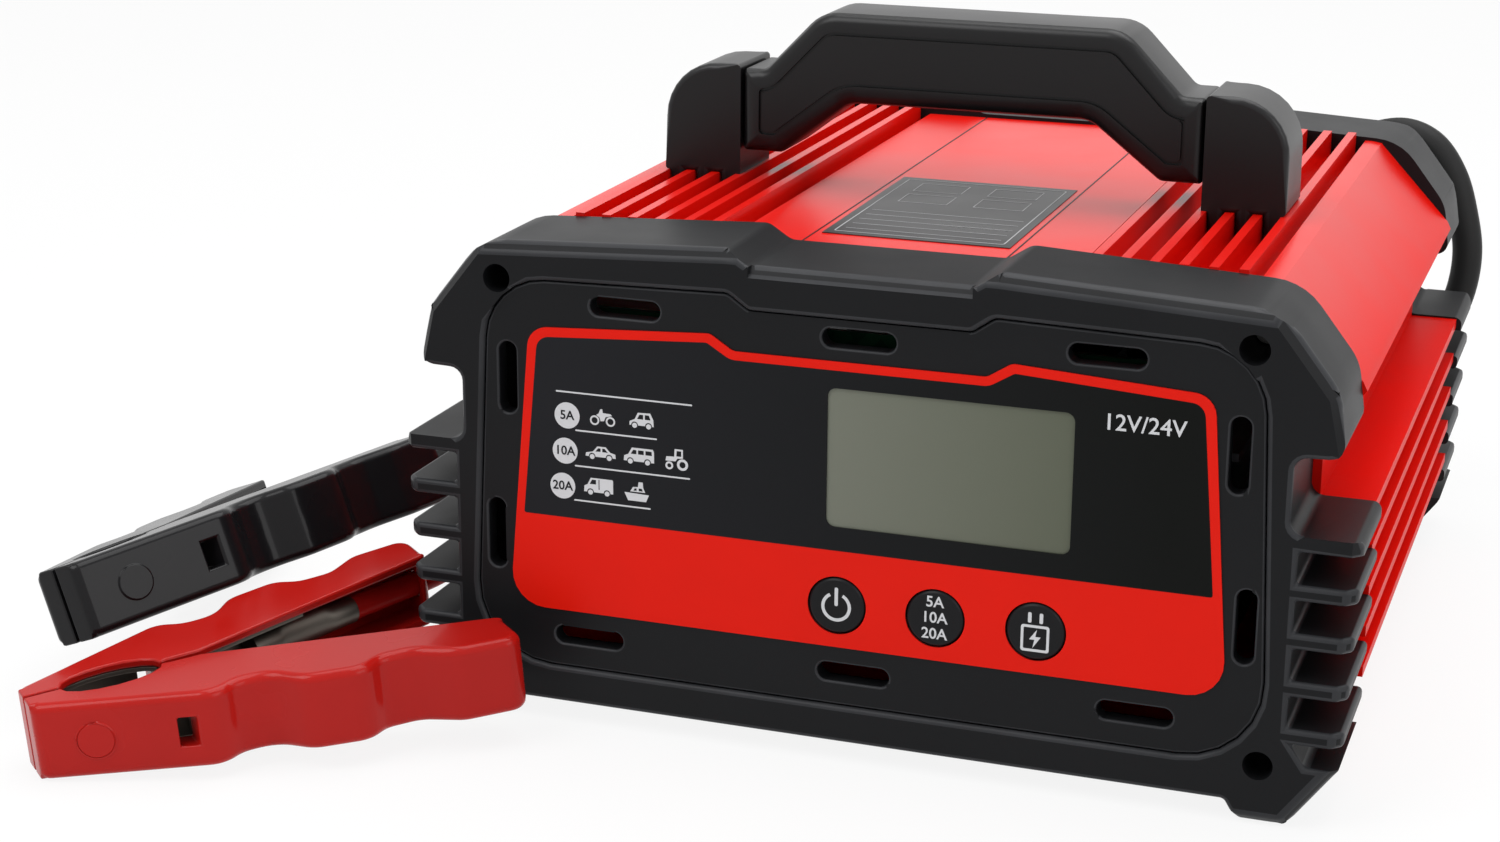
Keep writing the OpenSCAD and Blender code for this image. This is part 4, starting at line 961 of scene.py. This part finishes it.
def put(flats, name, place, finish, body="charger", slot="label_print"):
    """Joins flat meshes and puts them on their face."""
    bpy.ops.object.select_all(action="DESELECT")
    for flat in flats:
        flat.select_set(True)
    bpy.context.view_layer.objects.active = flats[0]
    if len(flats) > 1:
        bpy.ops.object.join()
    piece = bpy.context.object
    piece.name = name
    piece.data.transform(place @ Matrix.Scale(MM, 4))
    merged(piece, bpy.ops.mesh.normals_make_consistent, inside=False)
    piece.data.materials.clear()
    piece.data.materials.append(finishes[finish])
    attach(piece, body)
    print(name, len(piece.data.polygons), "faces")
    return piece


def printed(name, groups, finish, y=LABEL_Y, thick=PRINT_THICK, **rest):
    """A print of several groups of outlines, each an outside and its holes."""
    flats = [flat_mesh(group, thick) for group in groups]
    return put(flats, name, on_front(y, thick), finish, **rest)


def digits(words, x, z, height, thick=PRINT_THICK, bold=0.02):
    """Numbers as a flat mesh, centred on a place."""
    bpy.ops.object.select_all(action="DESELECT")
    bpy.ops.object.text_add()
    text = bpy.context.object
    text.data.body = words
    text.data.align_x = "CENTER"
    text.data.align_y = "CENTER"
    text.data.size = height / DIGIT_SHARE
    text.data.offset = bold * height
    text.data.extrude = thick / 2
    text.data.resolution_u = 4
    bpy.ops.object.convert(target="MESH")
    flat = bpy.context.object
    flat.data.transform(Matrix.Translation((x, z, 0)))
    return flat


print("print tools ready")

# %% Black field
# The half-width and height of the film's lower and upper corners.
LABEL_LOW = (84.2, 28)
LABEL_HIGH = (78.4, 95.6)
FIELD_LOW = 51
FIELD_INSET = 2
FIELD_THICK = 0.05
side_slope = (LABEL_HIGH[0] - LABEL_LOW[0]) / (LABEL_HIGH[1] - LABEL_LOW[1])
field_half = LABEL_LOW[0] + (FIELD_LOW - LABEL_LOW[1]) * side_slope - FIELD_INSET
field_right = [
    (field_half, FIELD_LOW, 0.5), (76.3, 93.5, 3.2), (35.2, 96.1, 1.5), (29.6, 92.7, 4.5),
]
field_corners = field_right + [(-x, z, radius) for x, z, radius in reversed(field_right)]
LCD = (21, 72.6, 56.4, 33, 2.5)
printed("label_black_field", [[round_corners(field_corners), box_outline(*LCD)]], "label_field",
        thick=FIELD_THICK)

# %% Display gasket
GASKET = (*LCD[:2], LCD[2] - 0.8, LCD[3] - 0.8, LCD[4] - 0.4)
GASKET_SUNK = 0.4
GASKET_THICK = 0.45
printed("display_gasket", [[box_outline(*LCD), box_outline(*GASKET)]], "label_field",
        LABEL_Y + GASKET_SUNK, GASKET_THICK)

# %% Rules and discs
# Each rule's left end, right end and height; each disc's middle and number.
OVERPRINT = 0.06
RULE_W = 0.36
DISC_R = 3.1
RULES = ((-71.8, -38.6, 81.2), (-67.1, -47.1, 72.3), (-67.3, -39.1, 63.8), (-67.6, -48.7, 55.5))
printed("label_rules", [
    [box_outline((left + right) / 2, z, right - left, RULE_W, 0.15)] for left, right, z in RULES
], "label_ink")
DISCS = ((-69.1, 75.6, "5A"), (-69.7, 67.1, "10A"), (-70.4, 58.6, "20A"))
printed("label_discs", [[disc_outline(x, z, DISC_R)] for x, z, _ in DISCS], "label_ink")
put([digits(words, x, z, 2.1) for x, z, words in DISCS], "label_disc_numbers",
    on_front(LABEL_Y - OVERPRINT, PRINT_THICK), "label_field")
put([digits("12V/24V", 63.8, 87.5, 3.6, bold=0.012)], "label_range_numbers",
    on_front(LABEL_Y, PRINT_THICK), "label_ink")

# %% Pictogram tools
ARCH_R = 0.85
WHEEL_R = 0.6
WHEEL_DROP = 0.05


def moved(x, z, points):
    """Points around a pictogram's middle, at its place on the label."""
    return [Vector((x + dx, z + dz)) for dx, dz in points]


def road_vehicle(x, z, roof, windows, axles, sill):
    """A body with wheel arches and windows, and its two wheels."""
    side = list(roof)
    for axle in reversed(axles):
        side += ring_outline(axle, sill, ARCH_R, 0, 180, 10)
    body = [moved(x, z, side), *(moved(x, z, window) for window in windows)]
    hub_z = z + sill - WHEEL_DROP
    return [body, *([disc_outline(x + axle, hub_z, WHEEL_R, 20)] for axle in axles)]


def wheel(x, z, outer, inner):
    """An open wheel: a rim around a hole."""
    return [disc_outline(x, z, outer, 24), disc_outline(x, z, inner, 24)]


print("pictogram tools ready")

# %% Pictograms
# Each vehicle's outline above its wheels, its windows, its axles and the height of its sill.
SMALL_CAR = (
    ((-2.95, -1.1), (-2.9, -0.2), (-1.7, 0.3), (-0.9, 1.9), (2.1, 2.0), (2.85, 0.5), (2.95, -1.1)),
    (((-1.1, 0.4), (-0.5, 1.5), (0.4, 1.5), (0.4, 0.4)),
     ((0.8, 0.4), (0.8, 1.5), (1.8, 1.5), (2.2, 0.4))),
    (-1.7, 1.7), -1.1,
)
SALOON = (
    ((-3.7, -0.9), (-3.6, -0.1), (-1.9, 0.3), (-0.8, 1.6), (1.2, 1.6), (2.4, 0.4), (3.6, 0.1),
     (3.7, -0.9)),
    (((-1.3, 0.35), (-0.6, 1.2), (0, 1.2), (0, 0.35)),
     ((0.4, 0.35), (0.4, 1.2), (1, 1.2), (1.8, 0.35))),
    (-2.1, 2.1), -0.9,
)
VAN = (
    ((-3.7, -1.2), (-3.6, 0), (-2.6, 0.4), (-1.7, 2), (3.4, 2), (3.7, 1.3), (3.7, -1.2)),
    (((-2, 0.5), (-1.4, 1.5), (-0.6, 1.5), (-0.6, 0.5)),
     ((-0.2, 0.5), (-0.2, 1.5), (1.2, 1.5), (1.2, 0.5)),
     ((1.6, 0.5), (1.6, 1.5), (3.1, 1.5), (3.2, 0.5))),
    (-2.1, 2.1), -1.2,
)
LORRY = (
    ((-3.6, -1.3), (-3.5, 0.1), (-2.7, 0.5), (-1.9, 2.1), (3.4, 2.1), (3.6, 1.8), (3.6, -1.3)),
    (((-2.2, 0.6), (-1.6, 1.7), (-0.6, 1.7), (-0.6, 0.6)),
     ((0, -0.6), (0, 1.8), (0.25, 1.8), (0.25, -0.6))),
    (-2.0, 2.1), -1.3,
)
pictograms = [
    *road_vehicle(-50.8, 76.2, *SMALL_CAR), *road_vehicle(-60.9, 67.4, *SALOON),
    *road_vehicle(-51.5, 67.7, *VAN), *road_vehicle(-61.5, 59.2, *LORRY),
    wheel(-62.3, 75.2, 1.15, 0.75), wheel(-58.4, 75.2, 1.15, 0.75),
    [moved(-60.3, 75.9, (
        (-1.6, 0.6), (-1.0, 1.0), (-0.6, 2.0), (-0.1, 2.1), (0.0, 1.2), (1.9, 1.1), (2.3, 0.7),
        (0.7, 0.3), (0.3, -0.7), (-0.5, -0.8), (-0.8, 0.1),
    ))],
    wheel(-40.9, 66.9, 1.35, 0.75), wheel(-44.1, 66.5, 0.95, 0.5),
    [moved(-42.4, 68, (
        (-2.6, -0.4), (-2.4, 0.6), (-0.5, 0.7), (-0.4, 2.5), (1.6, 2.5), (1.6, 0.4), (0.3, 0.3),
        (-0.2, -0.4),
    )), moved(-42.4, 68, ((0, 0.8), (0.1, 2.1), (1.2, 2.1), (1.2, 0.8)))],
    [moved(-52.1, 59.2, ((-3, -0.3), (3, -0.5), (2.3, -2.2), (-2.1, -2.2)))],
    [moved(-52.1, 59.2, (
        (-1.6, 0), (-0.9, 1.1), (0.3, 1.2), (0.5, 2.4), (1.5, 2.4), (1.6, 1.1), (2.1, 0),
    )), moved(-52.1, 59.2, ((-0.8, 0.25), (-0.5, 0.8), (0, 0.85), (0, 0.25))),
     moved(-52.1, 59.2, ((0.5, 0.25), (0.5, 0.9), (1.3, 0.9), (1.5, 0.25)))],
]
printed("label_pictograms", pictograms, "label_ink")

# %% Button signs
printed("start_sign", [
    [[*ring_outline(-3.9, 37.8, 3.5, 118, 422), *ring_outline(-3.9, 37.8, 2.75, 422, 118)]],
    [box_outline(-3.9, 40.2, 0.8, 4.4, 0.35)],
], "label_ink", CAP_Y, SIGN_THICK, body="start_key", slot="button_black")
CURRENTS = (("5A", 3.9), ("10A", 0.2), ("20A", -3.6))
put([digits(words, 19, 38 + above, 2.5, SIGN_THICK) for words, above in CURRENTS],
    "current_sign", on_front(CAP_Y, SIGN_THICK), "label_ink", "current_key", "button_black")
BOLT = moved(0, 0, (
    (42.3, 38.6), (40.6, 36.2), (41.8, 36.2), (41.4, 34.2), (43.2, 36.9), (42.0, 36.9),
))
printed("repair_sign", [
    [box_outline(41.9, 36.5, 6.4, 6.2, 0.6), box_outline(41.9, 36.5, 5.2, 5.0, 0.3)],
    [BOLT],
    [box_outline(40.6, 41.3, 0.8, 2.4, 0.3)],
    [box_outline(43.2, 41.3, 0.8, 2.4, 0.3)],
], "label_ink", CAP_Y, SIGN_THICK, body="repair_key", slot="button_black")

# %% [markdown]
# ## Top plate
# The top of the case is a flat plate with a seam at each side, and a dark sticker lies between
# them, with the ruled frame of a blank table. The seams could be cut into the case, but they are
# too fine for that, so all of it is made like the label's prints and laid on the faces that look
# up.

# %% Top plate
PLATE_Z = 113
STICKER_Z = 113.2
SEAM_X = 24.2
SEAM_W = 0.4
PLATE_LEN = 168
SEAM_THICK = 0.06
seams = [
    flat_mesh([box_outline(side * SEAM_X, 0, SEAM_W, PLATE_LEN, 0.1)], SEAM_THICK)
    for side in (-1, 1)
]
put(seams, "plate_seams", on_top(PLATE_Z, SEAM_THICK), "charcoal", slot="charcoal")

# %% Blank table
TABLE_THICK = 0.05
FRAME_Y = -37.5
ROWS = 5
FIRST_ROW_Y = -64.5
ROW_PITCH = 5.2
ruled = [[box_outline(0, FRAME_Y, 41, 62, 0.8), box_outline(0, FRAME_Y, 40.4, 61.4, 0.6)]]
ruled += [
    [box_outline(0, FIRST_ROW_Y + ROW_PITCH * row, 37.5, 0.24, 0.1)] for row in range(ROWS)
]
ruled += [
    [box_outline(x, y, 12.5, 9.5, 0.4), box_outline(x, y, 12, 9, 0.3)]
    for x in (-9.5, 9.5) for y in (-15, -28)
]
put([flat_mesh(group, TABLE_THICK) for group in ruled], "blank_table",
    on_top(STICKER_Z, TABLE_THICK), "sticker_ink", slot="sticker")

# %% [markdown]
# ## Plain solids
# What already has its real shape, such as screws, pins, boards and fan blades, could be copied and
# rounded too, but that would hardly show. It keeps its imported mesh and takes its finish.

# %% Plain solids
plain = 0
for name, solid in nodes.items():
    if not solid.hide_render:
        solid.data.materials.clear()
        solid.data.materials.append(finishes[slot_of[name]])
        plain += 1
print("plain solids", plain)
